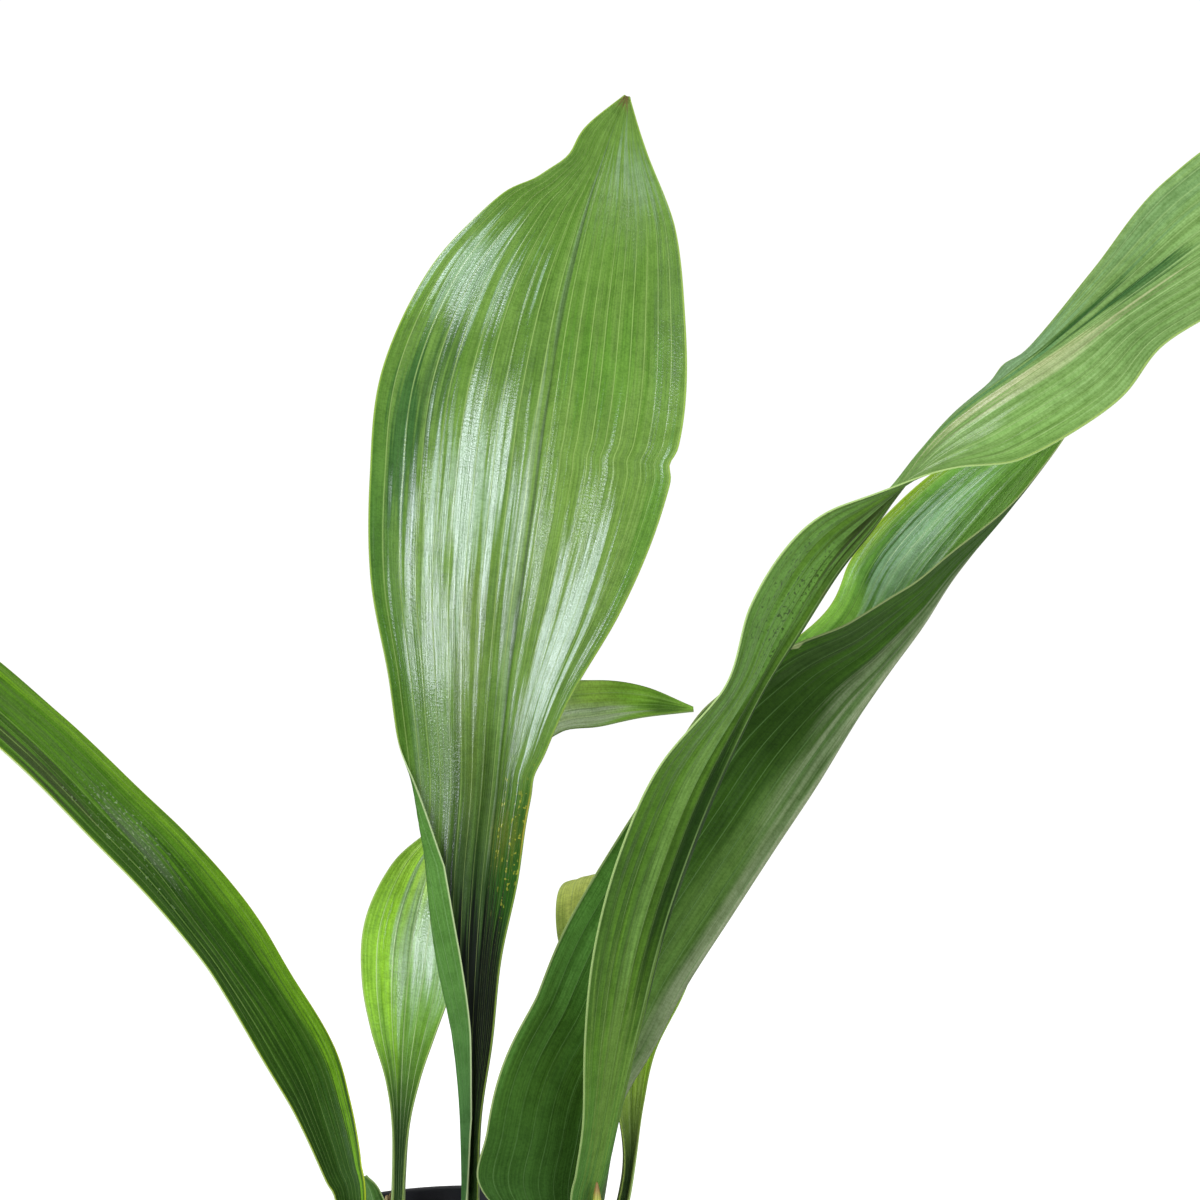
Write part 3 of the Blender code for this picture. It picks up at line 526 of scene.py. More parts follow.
# one half of every cross-section: points, and the direction of the surface at each
def halfSections(width, bearing, curl, start, steps, fold):
    fine = 3  # steps taken for each one kept
    share = (np.arange(steps * fine) + 0.5) / (steps * fine)
    out = width[:, None] * share
    turn = 1 - np.exp(-out / blade["keel"])
    heading = np.radians(start[:, None] + (bearing - start)[:, None] * turn + curl[:, None] * share**2)
    if fold:
        at, angle = fold[0][:, None], fold[1][:, None]
        soft = blade["foldSoft"]
        heading = heading - np.radians(angle) * ease(share[None, :], at - soft, at + soft)
    step = (width / (steps * fine))[:, None]
    x = np.cumsum(np.cos(heading) * step, axis=1)[:, fine - 1 :: fine]
    y = np.cumsum(np.sin(heading) * step, axis=1)[:, fine - 1 :: fine]
    return x, y, heading[:, fine - 1 :: fine]


# how far a half of the blade lies off its plain surface: pleats, sway, ripples and the midrib's groove
def unevenness(leaf, half, t, share, width, widest):
    count, depth = leaf["pleats"]
    full = (width / widest)[:, None]
    seed = leaf["seed"]
    shift = blade["pleatWander"] * drift(t * 0.7, seed + half)[:, None]
    weaker, closer = blade["secondPleat"]
    waves = np.cos(math.tau * (count * share + shift))
    waves = waves + weaker * np.cos(math.tau * (closer * count * share - 2 * shift))
    lift = depth * waves * np.sqrt(full) * (1 - share**6) * ease(t, *blade["pleatStart"])[:, None]
    lift *= (1 - blade["pleatLoss"] * ease(t, *blade["pleatEnd"]))[:, None]
    lift += leaf["sway"] * drift(t * 1.2 + 0.2 * half, seed)[:, None] * share**1.5 * full
    for side, centre, reach, height in leaf.get("ripples", []):
        if side == half:
            lift += height * hump(t, centre, reach)[:, None] * share**4
    lift -= blade["grooveDepth"] * hump(width[:, None] * share, 0, blade["grooveWidth"])
    return lift


# the upper surface of a leaf as a grid of points, with the width of each half along it
def leafSurface(leaf):
    rows, length = smoothLine(leaf["stations"], leaf["along"] + 1)
    t = np.linspace(0, 1, len(rows))
    sides, fronts = carriedFrames(rows[:, :3])
    steps = leaf["across"] // 2
    share = (np.arange(steps) + 1) / steps
    level = (rows[:, 7] + rows[:, 4] - 180) / 2
    widest = max(rows[:, 3].max(), rows[:, 6].max())
    halves = {}
    for half, first, start in ((-1, 3, level + 180), (1, 6, level)):
        width = rows[:, first].copy()
        for side, centre, reach, depth in leaf.get("nicks", []):
            if side == half:
                width -= depth * hump(t, centre, reach)
        width = np.maximum(width, blade["narrowest"])
        fold = None
        if half < 0 and "fold" in leaf:
            height, at, angle = np.transpose(leaf["fold"])
            fold = np.interp(t, height, at), np.interp(t, height, angle)
        x, y, heading = halfSections(width, rows[:, first + 1], rows[:, first + 2] * half, start, steps, fold)
        lift = unevenness(leaf, half, t, share, width, widest)
        halves[half] = x - half * np.sin(heading) * lift, y + half * np.cos(heading) * lift, width
    middle = np.zeros((len(rows), 1))
    x = np.hstack([halves[-1][0][:, ::-1], middle, halves[1][0]])
    y = np.hstack([halves[-1][1][:, ::-1], middle - blade["grooveDepth"], halves[1][1]])
    points = rows[:, None, :3] + sides[:, None, :] * x[:, :, None] + fronts[:, None, :] * y[:, :, None]
    return points, halves[-1][2], halves[1][2], length


def growLeaf(leaf):
    points, leftWidth, rightWidth, length = leafSurface(leaf)
    piece, row, column = layGrid(leaf["node"].replace("leaf_", "blade_"), points * mm)
    s = column / leaf["across"] * 2 - 1
    width = np.where(s < 0, leftWidth[row], rightWidth[row])
    t = row / leaf["along"]
    addMap(piece, "blade", s / 2 + 0.5, t)
    addMap(piece, "sizes", width * (1 - np.abs(s)) / blade["mapUnit"], t * length / blade["mapUnit"])
    piece.data.uv_layers.remove(piece.data.uv_layers[0])
    foot, tip = leaf["rib"]
    margin = blade["margin"]
    rib = foot + (tip - foot) * np.clip(t / 0.6, 0, 1)
    thick = margin + (rib - margin) * hump(width * np.abs(s), 0, blade["ribWidth"])
    group = piece.vertex_groups.new(name="thickness")
    for number, weight in enumerate(((thick - margin) / (foot - margin)).tolist()):
        group.add([number], weight, "REPLACE")
    shell = solidify(piece, foot, -1)
    shell.vertex_group = "thickness"
    shell.thickness_vertex_group = margin / foot
    shell.material_offset = 1
    shell.material_offset_rim = 1
    widest = max(leftWidth.max(), rightWidth.max())
    for side in ("upper", "under"):
        piece.data.materials.append(leafSkin(leaf, side, widest, length))
    applyAll(piece)
    bakeMap(piece, len(s))
    hand(piece, leaf["node"], 50)


# a map to bake textures onto: upper side on the left, under side on the right, margins between
def bakeMap(piece, upperCount):
    mesh = piece.data
    plan = blade["bake"]
    source = np.empty(len(mesh.loops) * 2, np.float32)
    mesh.uv_layers["blade"].uv.foreach_get("vector", source)
    source = source.reshape(-1, 2)
    corners = np.empty(len(mesh.loops), int)
    mesh.loops.foreach_get("vertex_index", corners)
    under = np.repeat([polygon.material_index for polygon in mesh.polygons], 4)
    mixed = np.repeat([len({v < upperCount for v in polygon.vertices}) == 2 for polygon in mesh.polygons], 4)
    across = plan["left"] + plan["width"] * source[:, 0] + plan["under"] * under
    strip = plan["strip"] + plan["stripStep"] * (source[:, 0] > 0.5)
    across = np.where(mixed, strip + plan["stripWidth"] * (corners >= upperCount), across)
    layer = mesh.uv_layers.new(name="OFBake")
    layer.uv.foreach_set("vector", pairUp(across, plan["low"] + plan["height"] * source[:, 1]))


# Patterns of the blade. The first four are drawn out along it: width and reach in mm, and detail.
pattern = {
    "fine": (0.85, 60, 3.0), "strand": (3.4, 110, 2.0), "band": (9, 170, 2.0),
    "mesh": (1.6, 0.9, 1.0),  # the net of cross veins between the long ones
    "patch": 22.0, "cloud": 170.0, "grain": 1500.0,  # scales of the even ones
    "veinSpacing": 7.5, "veinWander": 0.012, "relief": 0.22, "shade": "#C2CCB2",
}


# Leaf of an evergreen with a waxed skin: long parallel veins that meet at both ends, a satin gloss
# broken up by the veins and by a fine grain, a thin pale margin, and a duller, greyer under side.
def leafSkin(leaf, side, widest, length):
    look = leaf[side]
    made, tree = newMaterial(leaf["node"].replace("leaf_", "") + "_" + side)
    flat = addNode(tree, "UVMap", {"uv_map": "blade"})
    margin = addNode(tree, "SeparateXYZ", {}, {0: addNode(tree, "UVMap", {"uv_map": "sizes"})})
    split = addNode(tree, "SeparateXYZ", {}, {0: flat}).node
    across, along = split.outputs[0], split.outputs[1]
    place = addNode(tree, "TexCoord", out=3)
    wander = addNode(tree, "TexNoise", {"Scale": 2.5, "Detail": 1.0}, {"Vector": flat})
    bend = {"operation": "MULTIPLY_ADD", 1: pattern["veinWander"]}
    bent = addNode(tree, "Math", bend, {0: wander, 2: across})
    flow = addNode(tree, "CombineXYZ", {2: leaf["seed"]}, {0: bent, 1: along})

    def drawnOut(name):  # a pattern drawn out along the blade
        width, reach, detail = pattern[name]
        drawn = addNode(tree, "Mapping", {"Scale": (2 * widest / width, length / reach, 1)}, {0: flow})
        streaky = {"Scale": 1.0, "Detail": detail, "Roughness": 0.6}
        return addNode(tree, "TexNoise", streaky, {"Vector": drawn})

    def spot(s, t, reachS, reachT, strength, tear=4.0):  # an uneven patch round one place on the blade
        shift = addNode(tree, "VectorMath", {"operation": "SUBTRACT", 1: (s / 2 + 0.5, t, 0)}, {0: flat})
        grow = {"operation": "MULTIPLY", 1: (2 / reachS, 1 / reachT, 0)}
        scaled = addNode(tree, "VectorMath", grow, {0: shift})
        far = addNode(tree, "VectorMath", {"operation": "LENGTH"}, {0: scaled}, 1)
        torn = addNode(tree, "Math", {"operation": "MULTIPLY_ADD", 1: 2.0}, {0: band, 2: far})
        torn = addNode(tree, "Math", {"operation": "MULTIPLY_ADD", 1: tear}, {0: strand, 2: torn})
        limit = 1.7 + tear / 2
        soft = 0.3 if tear > 2 else 0.5
        fade = {"interpolation_type": "SMOOTHSTEP", 1: limit - soft, 2: limit + soft, 3: strength, 4: 0.0}
        return addNode(tree, "MapRange", fade, {0: torn})

    fine, strand, band, mesh = (drawnOut(name) for name in ("fine", "strand", "band", "mesh"))
    patch = addNode(tree, "TexNoise", {"Scale": pattern["patch"], "Detail": 3.0}, {"Vector": place})
    grain = addNode(tree, "TexNoise", {"Scale": pattern["grain"], "Detail": 1.0}, {"Vector": place})
    clouding = {"Scale": pattern["cloud"], "Detail": 4.0, "Roughness": 0.7}
    cloud = addNode(tree, "TexNoise", clouding, {"Vector": place})
    # colour of the flesh, and of the stalk that it runs down into
    colour = tint(tree, look["green"], look["light"], strand, (0.35, 0.68), (0.0, look["bands"]))
    colour = tint(tree, colour, look["deep"], patch, (0.45, 0.7), (0.0, 0.45))
    low, high = look["foot"]
    stalk = {"interpolation_type": "SMOOTHSTEP", 1: low, 2: high, 3: 1.0, 4: 0.0}
    colour = tint(tree, colour, look["stalk"], addNode(tree, "MapRange", stalk, {0: along}))
    # where this leaf differs from place to place: its own tones, and painted shade and painted highlights in
    # the washes and marks
    for *where, hue, strength in look["toneAndPaintedLightWashes"]:
        colour = tint(tree, colour, hue, spot(*where, strength, 0.8))
    for *where, hue, strength in look["toneAndPaintedLightMarks"]:
        colour = tint(tree, colour, hue, spot(*where, strength))
    for *where, hue, strength, size in look["flecks"]:
        dots = addNode(tree, "TexNoise", {"Scale": 500 / size, "Detail": 1.0}, {"Vector": place})
        dots = addNode(tree, "MapRange", {1: 0.6, 2: 0.66}, {0: dots})
        dots = addNode(tree, "Math", {"operation": "MULTIPLY"}, {0: dots, 1: spot(*where, strength)})
        colour = tint(tree, colour, hue, dots)
    # fine lines, clouding and cross veins darken the whole blade a little
    shades = ((fine, 0.42, 0.64, 0.6), (cloud, 0.46, 0.62, 0.4), (mesh, 0.45, 0.62, 0.35))
    for source, low, high, strength in shades:
        colour = tint(tree, colour, pattern["shade"], source, (low, high), (0.0, strength), "MULTIPLY")
    # long veins, clear in places and faint in others
    veins = float(round(2 * widest / pattern["veinSpacing"]))
    turns = addNode(tree, "Math", {"operation": "MULTIPLY", 1: veins}, {0: bent})
    gap = addNode(tree, "Math", {"operation": "PINGPONG", 1: 0.5}, {0: turns})
    narrow = {"interpolation_type": "SMOOTHSTEP", 1: 0.0, 2: 0.06, 3: 1.0, 4: 0.0}
    line = addNode(tree, "MapRange", narrow, {0: gap})
    clear = addNode(tree, "MapRange", {1: 0.4, 2: 0.6, 3: 0.3, 4: look["veinShow"]}, {0: patch})
    shown = addNode(tree, "Math", {"operation": "MULTIPLY"}, {0: line, 1: clear})
    colour = tint(tree, colour, look["vein"], shown)
    rim = {"interpolation_type": "SMOOTHSTEP", 1: 0.002, 2: 0.009, 3: look["rimShow"], 4: 0.0}
    colour = tint(tree, colour, look["edge"], addNode(tree, "MapRange", rim, {0: margin}))
    # a waxed coat: thin streaks everywhere, and whole where the look lists it
    sheen = addNode(tree, "MapRange", {1: 0.5, 2: 0.62, 4: look["streaks"]}, {0: strand})
    for where in look["sheen"]:
        sheen = addNode(tree, "Math", {"operation": "MAXIMUM"}, {0: spot(*where), 1: sheen})
    crinkle = addNode(tree, "MapRange", {1: 0.4, 2: 0.56, 3: 0.6}, {0: fine})
    sheen = addNode(tree, "Math", {"operation": "MULTIPLY"}, {0: sheen, 1: crinkle})
    smooth, worn = look["rough"]
    rough = addNode(tree, "MapRange", {1: 0.3, 2: 0.7, 3: smooth, 4: worn}, {0: fine})
    # relief of the long lines, the cross veins and the grain
    height = addNode(tree, "Math", {"operation": "MULTIPLY_ADD", 1: 0.5}, {0: line, 2: fine})
    depth = pattern["relief"] * mm
    relief = addNode(tree, "Bump", {"Strength": 1.0, "Distance": depth}, {"Height": height})
    for source, strength, share in ((mesh, 1.0, 2), (grain, 0.6, 4)):
        raised = {"Strength": strength, "Distance": depth / share}
        relief = addNode(tree, "Bump", raised, {"Height": source, "Normal": relief})
    closeMaterial(
        tree,
        {"IOR": 1.45, "Specular IOR Level": look["shine"], "Coat Roughness": 0.2, "Coat IOR": look["wax"]},
        {"Base Color": colour, "Roughness": rough, "Normal": relief,
         "Coat Weight": sheen, "Coat Normal": relief},
    )
    return made


nurseryPot = {
    "height": 140, "rimRadius": 75, "band": 13, "step": 3.2, "baseRadius": 54, "wall": 1.6, "floor": 2,
    "foot": 3, "lip": 1.2, "corner": 5, "inset": 2, "around": 128,
    "holes": 8, "holeRadius": 5, "holeRing": 47,
    "outerRings": (20, 55, 90), "innerRings": (100, 60, 20),  # heights where the walls have an edge
    # steps out and up from the wall below the band, and from the band's face
    "fillet": [(0.25, -0.3), (0.9, 0)], "draft": [(-0.25, 4), (-0.1, 8)], "bandCorner": (0.9, 0.6),
    "plastic": "#1D1B20", "inside": "#20222A", "dust": "#4B4038",
}


def arc(r, z, radius, first, last, steps):  # points of an arc as (r, z), angles in degrees
    turns = [math.radians(first + (last - first) * i / steps) for i in range(steps + 1)]
    return [(r + radius * math.cos(a), z + radius * math.sin(a)) for a in turns]


# the pot's outline as (r, z): up the outside, over the rim and down the inside to the floor
def potProfile():
    p = nurseryPot
    foot, lip, corner, rim, height = p["foot"], p["lip"], p["corner"], p["rimRadius"], p["height"]
    low = height - p["band"]

    def wallAt(z):
        return p["baseRadius"] + (rim - p["step"] - p["baseRadius"]) * z / height

    inset, bend = p["bandCorner"]
    points = arc(p["baseRadius"] - foot, foot, foot, -90, 0, 5)
    points += [(wallAt(z), z) for z in (*p["outerRings"], low - 1.2)]
    points += [(wallAt(low) + out, low + up) for out, up in p["fillet"]]
    points += arc(rim - inset, low + bend, bend, -90, 0, 3)
    points += [(rim + out, low + up) for out, up in p["draft"]]
    points += arc(rim - lip, height - lip, lip, 0, 90, 5)
    points += arc(wallAt(height) - p["wall"] + lip, height - lip, lip, 90, 180, 5)
    points += [(wallAt(z) - p["wall"], z) for z in (low + 4, low, *p["innerRings"])]
    return points + arc(wallAt(8) - p["wall"] - corner, p["floor"] + corner, corner, 0, -90, 5)


def mouldPot():
    p = nurseryPot
    (radius, z), *rest = potProfile()
    bpy.ops.object.select_all(action="DESELECT")
    bpy.ops.mesh.primitive_circle_add(
        vertices=p["around"], radius=radius * mm, fill_type="NGON", location=(0, 0, z * mm)
    )
    pot = bpy.context.object
    pot.name = pot.data.name = "nursery_pot"
    bpy.ops.object.mode_set(mode="EDIT")
    for newRadius, newZ in rest:
        bpy.ops.mesh.extrude_region_move(TRANSFORM_OT_translate={"value": (0, 0, (newZ - z) * mm)})
        grow = newRadius / radius
        bpy.ops.transform.resize(value=(grow, grow, 1), center_override=(0, 0, newZ * mm))
        radius, z = newRadius, newZ
    bpy.ops.mesh.inset(thickness=p["inset"] * mm)
    turnOutward()
    onlyThis(pot)
    bpy.ops.object.transform_apply(location=True, rotation=True, scale=True)
    drills = []
    for number in range(p["holes"]):
        turn = math.tau * number / p["holes"]
        place = (p["holeRing"] * mm * math.cos(turn), p["holeRing"] * mm * math.sin(turn), mm)
        bpy.ops.mesh.primitive_cylinder_add(
            vertices=32, radius=p["holeRadius"] * mm, depth=9 * mm, location=place
        )
        drills.append(bpy.context.object)
    for drill in drills:
        cut = pot.modifiers.new("hole", "BOOLEAN")
        cut.object = drill
        cut.operation = "DIFFERENCE"
    applyAll(pot)
    for drill in drills:
        bpy.data.objects.remove(drill, do_unlink=True)
    pot.data.materials.clear()
    pot.data.materials.append(mouldedPlastic())
    hand(pot, "pot", 40)


# Injection-moulded black polypropylene: satin, with cloudy wear, fine scuffs and dried dust low down
def mouldedPlastic():
    made, tree = newMaterial("moulded_polypropylene")
    place = addNode(tree, "TexCoord", out=3)
    split = addNode(tree, "SeparateXYZ", {}, {0: place}).node
    cloud = addNode(tree, "TexNoise", {"Scale": 38.0, "Detail": 4.0}, {"Vector": place})
    drawn = addNode(tree, "Mapping", {"Scale": (220, 220, 35)}, {0: place})
    scuff = addNode(tree, "TexNoise", {"Scale": 1.0, "Detail": 5.0, "Roughness": 0.7}, {"Vector": drawn})
    pebble = addNode(tree, "TexNoise", {"Scale": 900.0, "Detail": 2.0}, {"Vector": place})
    colour = tint(tree, nurseryPot["plastic"], nurseryPot["inside"], cloud, (0.35, 0.7))
    low = addNode(tree, "MapRange", {1: 0.0, 2: 0.03, 3: 0.35, 4: 0.0}, {0: split.outputs[2]})
    dusty = addNode(tree, "Math", {"operation": "MULTIPLY"}, {0: low, 1: scuff})
    colour = tint(tree, colour, nurseryPot["dust"], dusty)
    closeWorn(tree, colour, (scuff, 0.3, 0.5), (pebble, 0.5, 0.06), {"IOR": 1.49}, 0.75)
    return made


rhizomeStem = {
    "height": 112.5, "radius": 5.6, "rows": 90, "sides": 20, "endShare": 0.35, "voxel": 0.55, "smoothing": 2,
    "lines": [
        [(-54, -24), (-42, -18), (-27, -10), (-10, -4), (2, 0), (25, 2), (46, -1), (53, 4), (57, 9)],
        [(24, 1), (35, -7), (45, -15), (50, -21), (53, -27)],
        [(2, 0), (3, 11), (1, 21), (-13, 27), (-29, 27), (-37, 24)],
    ],
    # the scars' spacing in mm, then height, place and reach of the ridge and groove within one space
    "scarSpacing": 9, "scars": [(0.55, 0.5, 0.07), (-0.35, 0.38, 0.08)],
    "swell": (0.35, 30), "wave": (0.8, 60), "grain": [(350, 0.3), (900, 0.12)],  # size in mm and scale
    # a stub under every leaf, with a flared foot, a ring and a rounded top
    "stubRadius": 5.2, "stubTop": 120, "stubRows": 14, "stubSides": 18,
    "stubFlare": 1.4, "stubRing": (0.4, 0.6, 0.1), "stubRound": 0.5,
    "skin": "#8A7A48", "green": "#6F7D3C", "scar": "#4E3A22", "dry": "#B49A66",
}


# a closed tube: a grid rolled round a line, its seam merged and its ends filled
def layTube(name, line, radii, sides):
    travel = headings(line)
    up = np.array([0.0, 0.0, 1.0]) if abs(travel[0][2]) < 0.7 else np.array([0.0, -1.0, 0.0])
    side = np.cross(travel, up)
    side /= np.linalg.norm(side, axis=1)[:, None]
    over = np.cross(side, travel)
    turn = np.linspace(0, math.tau, sides + 1)
    ring = side[:, None, :] * np.cos(turn)[None, :, None] + over[:, None, :] * np.sin(turn)[None, :, None]
    piece = layGrid(name, (line[:, None, :] + ring * radii[:, None, None]) * mm)[0]
    onlyThis(piece)
    bpy.ops.object.mode_set(mode="EDIT")
    bpy.ops.mesh.select_all(action="SELECT")
    bpy.ops.mesh.remove_doubles(threshold=0.00001)
    bpy.ops.mesh.fill_holes(sides=0)
    turnOutward()
    return piece


def growRhizome():
    stem = rhizomeStem
    pieces = []
    for number, points in enumerate(stem["lines"]):
        line, length = smoothLine([(x, y, stem["height"]) for x, y in points], stem["rows"])
        along = np.linspace(0, length, len(line))
        end = np.minimum(along, length - along)
        radii = stem["radius"] * np.sqrt(np.minimum(1, stem["endShare"] + end / (2 * stem["radius"])))
        phase = (along / stem["scarSpacing"]) % 1
        radii += sum(height * hump(phase, at, reach) for height, at, reach in stem["scars"])
        (swell, swellReach), (wave, waveReach) = stem["swell"], stem["wave"]
        radii += swell * drift(along / swellReach, 3.0 + number)
        line[:, 2] += wave * drift(along / waveReach, 1.0 + number)
        pieces.append(layTube("stem", line, radii, stem["sides"]))
    height, at, width = stem["stubRing"]
    for x, y in [grown["stations"][0][:2] for grown in [*leaves, shoot]]:
        heights = np.linspace(stem["height"] - 2, stem["stubTop"], stem["stubRows"])
        line = np.array([(x, y, z) for z in heights])
        reach = np.linspace(0, 1, stem["stubRows"])
        radii = stem["stubRadius"] + stem["stubFlare"] * (1 - reach) ** 2 + height * hump(reach, at, width)
        pieces.append(layTube("stub", line, radii - stem["stubRound"] * reach**6, stem["stubSides"]))
    onlyThis(pieces[0])
    for piece in pieces:
        piece.select_set(True)
    bpy.ops.object.join()
    whole = bpy.context.object
    whole.name = whole.data.name = "creeping_rhizome"
    weld = whole.modifiers.new("weld", "REMESH")
    weld.mode = "VOXEL"
    weld.voxel_size = stem["voxel"] * mm
    soften = whole.modifiers.new("soften", "SMOOTH")
    soften.iterations = stem["smoothing"]
    applyAll(whole)
    outward = [vertex.normal.copy() for vertex in whole.data.vertices]
    for vertex, normal in zip(whole.data.vertices, outward):
        bump = sum(noise.noise(vertex.co * scale) * size for scale, size in stem["grain"])
        vertex.co += normal * bump * mm
    whole.data.materials.clear()
    whole.data.materials.append(rhizomeSkin())
    hand(whole, "rhizome", 80)


# Living rhizome of a lily kin: firm tan and olive skin with dark ring scars and dry scale remains
def rhizomeSkin():
    made, tree = newMaterial("rhizome_skin")
    place = addNode(tree, "TexCoord", out=3)
    blotch = addNode(tree, "TexNoise", {"Scale": 120.0, "Detail": 4.0}, {"Vector": place})
    fibre = addNode(tree, "TexNoise", {"Scale": 700.0, "Detail": 3.0, "Roughness": 0.65}, {"Vector": place})
    colour = tint(tree, rhizomeStem["skin"], rhizomeStem["green"], blotch, (0.4, 0.62))
    colour = tint(tree, colour, rhizomeStem["scar"], fibre, (0.52, 0.7), (0.0, 0.8))
    colour = tint(tree, colour, rhizomeStem["dry"], blotch, (0.6, 0.72), (0.0, 0.8))
    closeWorn(tree, colour, (fibre, 0.55, 0.8), (fibre, 0.8, 0.3))
    return made


# Heights and distances in mm. Clods are height and reach; the bank runs along both sides of the
# rhizome and the bed is pressed in under it: height, distance from its middle and reach.
pottingMix = {
    "top": 112, "dome": 2, "domeRadius": 64, "bottom": 2.3, "cells": 150, "gap": 2.2,
    "skirt": 3, "depth": 100, "footShare": 0.8,
    "clods": [(1.5, 11), (0.9, 4), (0.45, 1.5)], "bank": (0.9, 8, 3), "bed": (2.0, 0, 4),
    "strewnWithin": 63, "strewnRadius": 62, "clearance": 7, "breadth": (0.6, 1.3), "flatness": (0.6, 1.1),
    "tilt": 0.5, "knobbly": 0.45,
    "peat": "#2E2018", "damp": "#1B130E", "crumb": "#4A3526", "barkLight": "#6B4A30", "barkDark": "#3A2619",
    "grit": "#D8D2C4",
}


def nearRhizome(x, y):  # distance from the rhizome's middle lines, in mm
    best = 1e9
    for points in rhizomeStem["lines"]:
        for (ax, ay), (bx, by) in zip(points, points[1:]):
            share = ((x - ax) * (bx - ax) + (y - ay) * (by - ay)) / ((bx - ax) ** 2 + (by - ay) ** 2)
            share = min(1, max(0, share))
            best = min(best, math.hypot(x - ax - share * (bx - ax), y - ay - share * (by - ay)))
    return best


def soilHeight(x, y):  # the uneven top of the soil, in mm
    p = pottingMix
    edge = min(1, math.hypot(x, y) / p["domeRadius"])
    height = p["top"] - p["dome"] * edge**3
    place = Vector((x, y, 0))
    height += sum(size * noise.noise(place / reach) for size, reach in p["clods"])
    close = nearRhizome(x, y)
    (bank, bankAt, bankReach), (bed, bedAt, bedReach) = p["bank"], p["bed"]
    return float(height + bank * hump(close, bankAt, bankReach) - bed * hump(close, bedAt, bedReach))


# one lump, 1 mm in radius before it is scaled, flattened by its last number
def lump(name, made, seed, flat):
    bpy.ops.object.select_all(action="DESELECT")
    bpy.ops.mesh.primitive_ico_sphere_add(subdivisions=2, radius=1.0)
    piece = bpy.context.object
    piece.name = name
    for vertex in piece.data.vertices:
        vertex.co *= 1 + pottingMix["knobbly"] * noise.noise(vertex.co * 1.3 + Vector((seed, 0, 0)))
        vertex.co.z *= flat
        vertex.co *= mm
    piece.data.materials.append(made)
    return piece


# copies of a lump strewn over the soil, clear of the rhizome, between two sizes in mm
def scatter(mould, count, low, high, lift):
    p = pottingMix
    field, tilt = p["strewnWithin"], p["tilt"]
    copies = []
    for _ in range(count):
        while True:
            x, y = dice.uniform(-field, field), dice.uniform(-field, field)
            if math.hypot(x, y) < p["strewnRadius"] and nearRhizome(x, y) > p["clearance"]:
                break
        copy = mould.copy()
        copy.data = mould.data.copy()
        bpy.context.scene.collection.objects.link(copy)
        size = dice.uniform(low, high)
        copy.scale = (size, size * dice.uniform(*p["breadth"]), size * dice.uniform(*p["flatness"]))
        leans = dice.uniform(-tilt, tilt), dice.uniform(-tilt, tilt)
        copy.rotation_euler = (*leans, dice.uniform(0, math.tau))
        copy.location = (x * mm, y * mm, (soilHeight(x, y) + lift * size) * mm)
        copies.append(copy)
    bpy.data.objects.remove(mould, do_unlink=True)
    return copies


def fillSoil():
    p = pottingMix
    widening = nurseryPot["rimRadius"] - nurseryPot["step"] - nurseryPot["baseRadius"]
    radius = nurseryPot["baseRadius"] + widening * (p["top"] - p["dome"]) / nurseryPot["height"] - p["gap"]
    line = np.linspace(-1, 1, p["cells"] + 1)
    u, v = np.meshgrid(line, line)
    x, y = u * np.sqrt(1 - v**2 / 2) * radius, v * np.sqrt(1 - u**2 / 2) * radius
    z = np.array([[soilHeight(a, b) for a, b in zip(*pair)] for pair in zip(x.tolist(), y.tolist())])
    body = layGrid("potting_mix", np.stack([x, y, z], 2) * mm)[0]
    onlyThis(body)
    bpy.ops.object.mode_set(mode="EDIT")
    bpy.ops.mesh.select_mode(type="EDGE")
    bpy.ops.mesh.select_all(action="DESELECT")
    bpy.ops.mesh.select_non_manifold()
    for drop in (p["skirt"], p["depth"]):
        bpy.ops.mesh.extrude_region_move(TRANSFORM_OT_translate={"value": (0, 0, -drop * mm)})
    narrow = (p["footShare"], p["footShare"], 0)
    bpy.ops.transform.resize(value=narrow, center_override=(0, 0, p["bottom"] * 2 * mm))
    bpy.ops.mesh.edge_face_add()
    turnOutward()
    body.data.materials.append(peat())
    bark, grit = barkChips(), perlite()
    parts = scatter(lump("chip", bark, 1.0, 0.45), 115, 1.2, 3.4, 0.15)
    parts += scatter(lump("chip", bark, 5.0, 0.3), 115, 1.0, 4.2, 0.1)
    parts += scatter(lump("grain", grit, 9.0, 0.9), 110, 0.5, 1.5, 0.3)
    onlyThis(body)
    for part in parts:
        part.select_set(True)
    bpy.ops.object.join()
    onlyThis(body)
    bpy.ops.object.transform_apply(location=True, rotation=True, scale=True)
    hand(body, "soil", 60)


# Peat and coir potting mix: crumbly, nearly black where damp, brown where it has dried
def peat():
    made, tree = newMaterial("peat_mix")
    place = addNode(tree, "TexCoord", out=3)
    clod = addNode(tree, "TexNoise", {"Scale": 90.0, "Detail": 5.0, "Roughness": 0.65}, {"Vector": place})
    crumb = addNode(tree, "TexVoronoi", {"Scale": 750.0}, {"Vector": place})
    colour = tint(tree, pottingMix["damp"], pottingMix["peat"], clod, (0.35, 0.65))
    colour = tint(tree, colour, pottingMix["crumb"], crumb, (0.15, 0.45), (0.7, 0.0))
    closeWorn(tree, colour, (clod, 0.8, 0.97), (crumb, 1.0, 0.7))
    return made


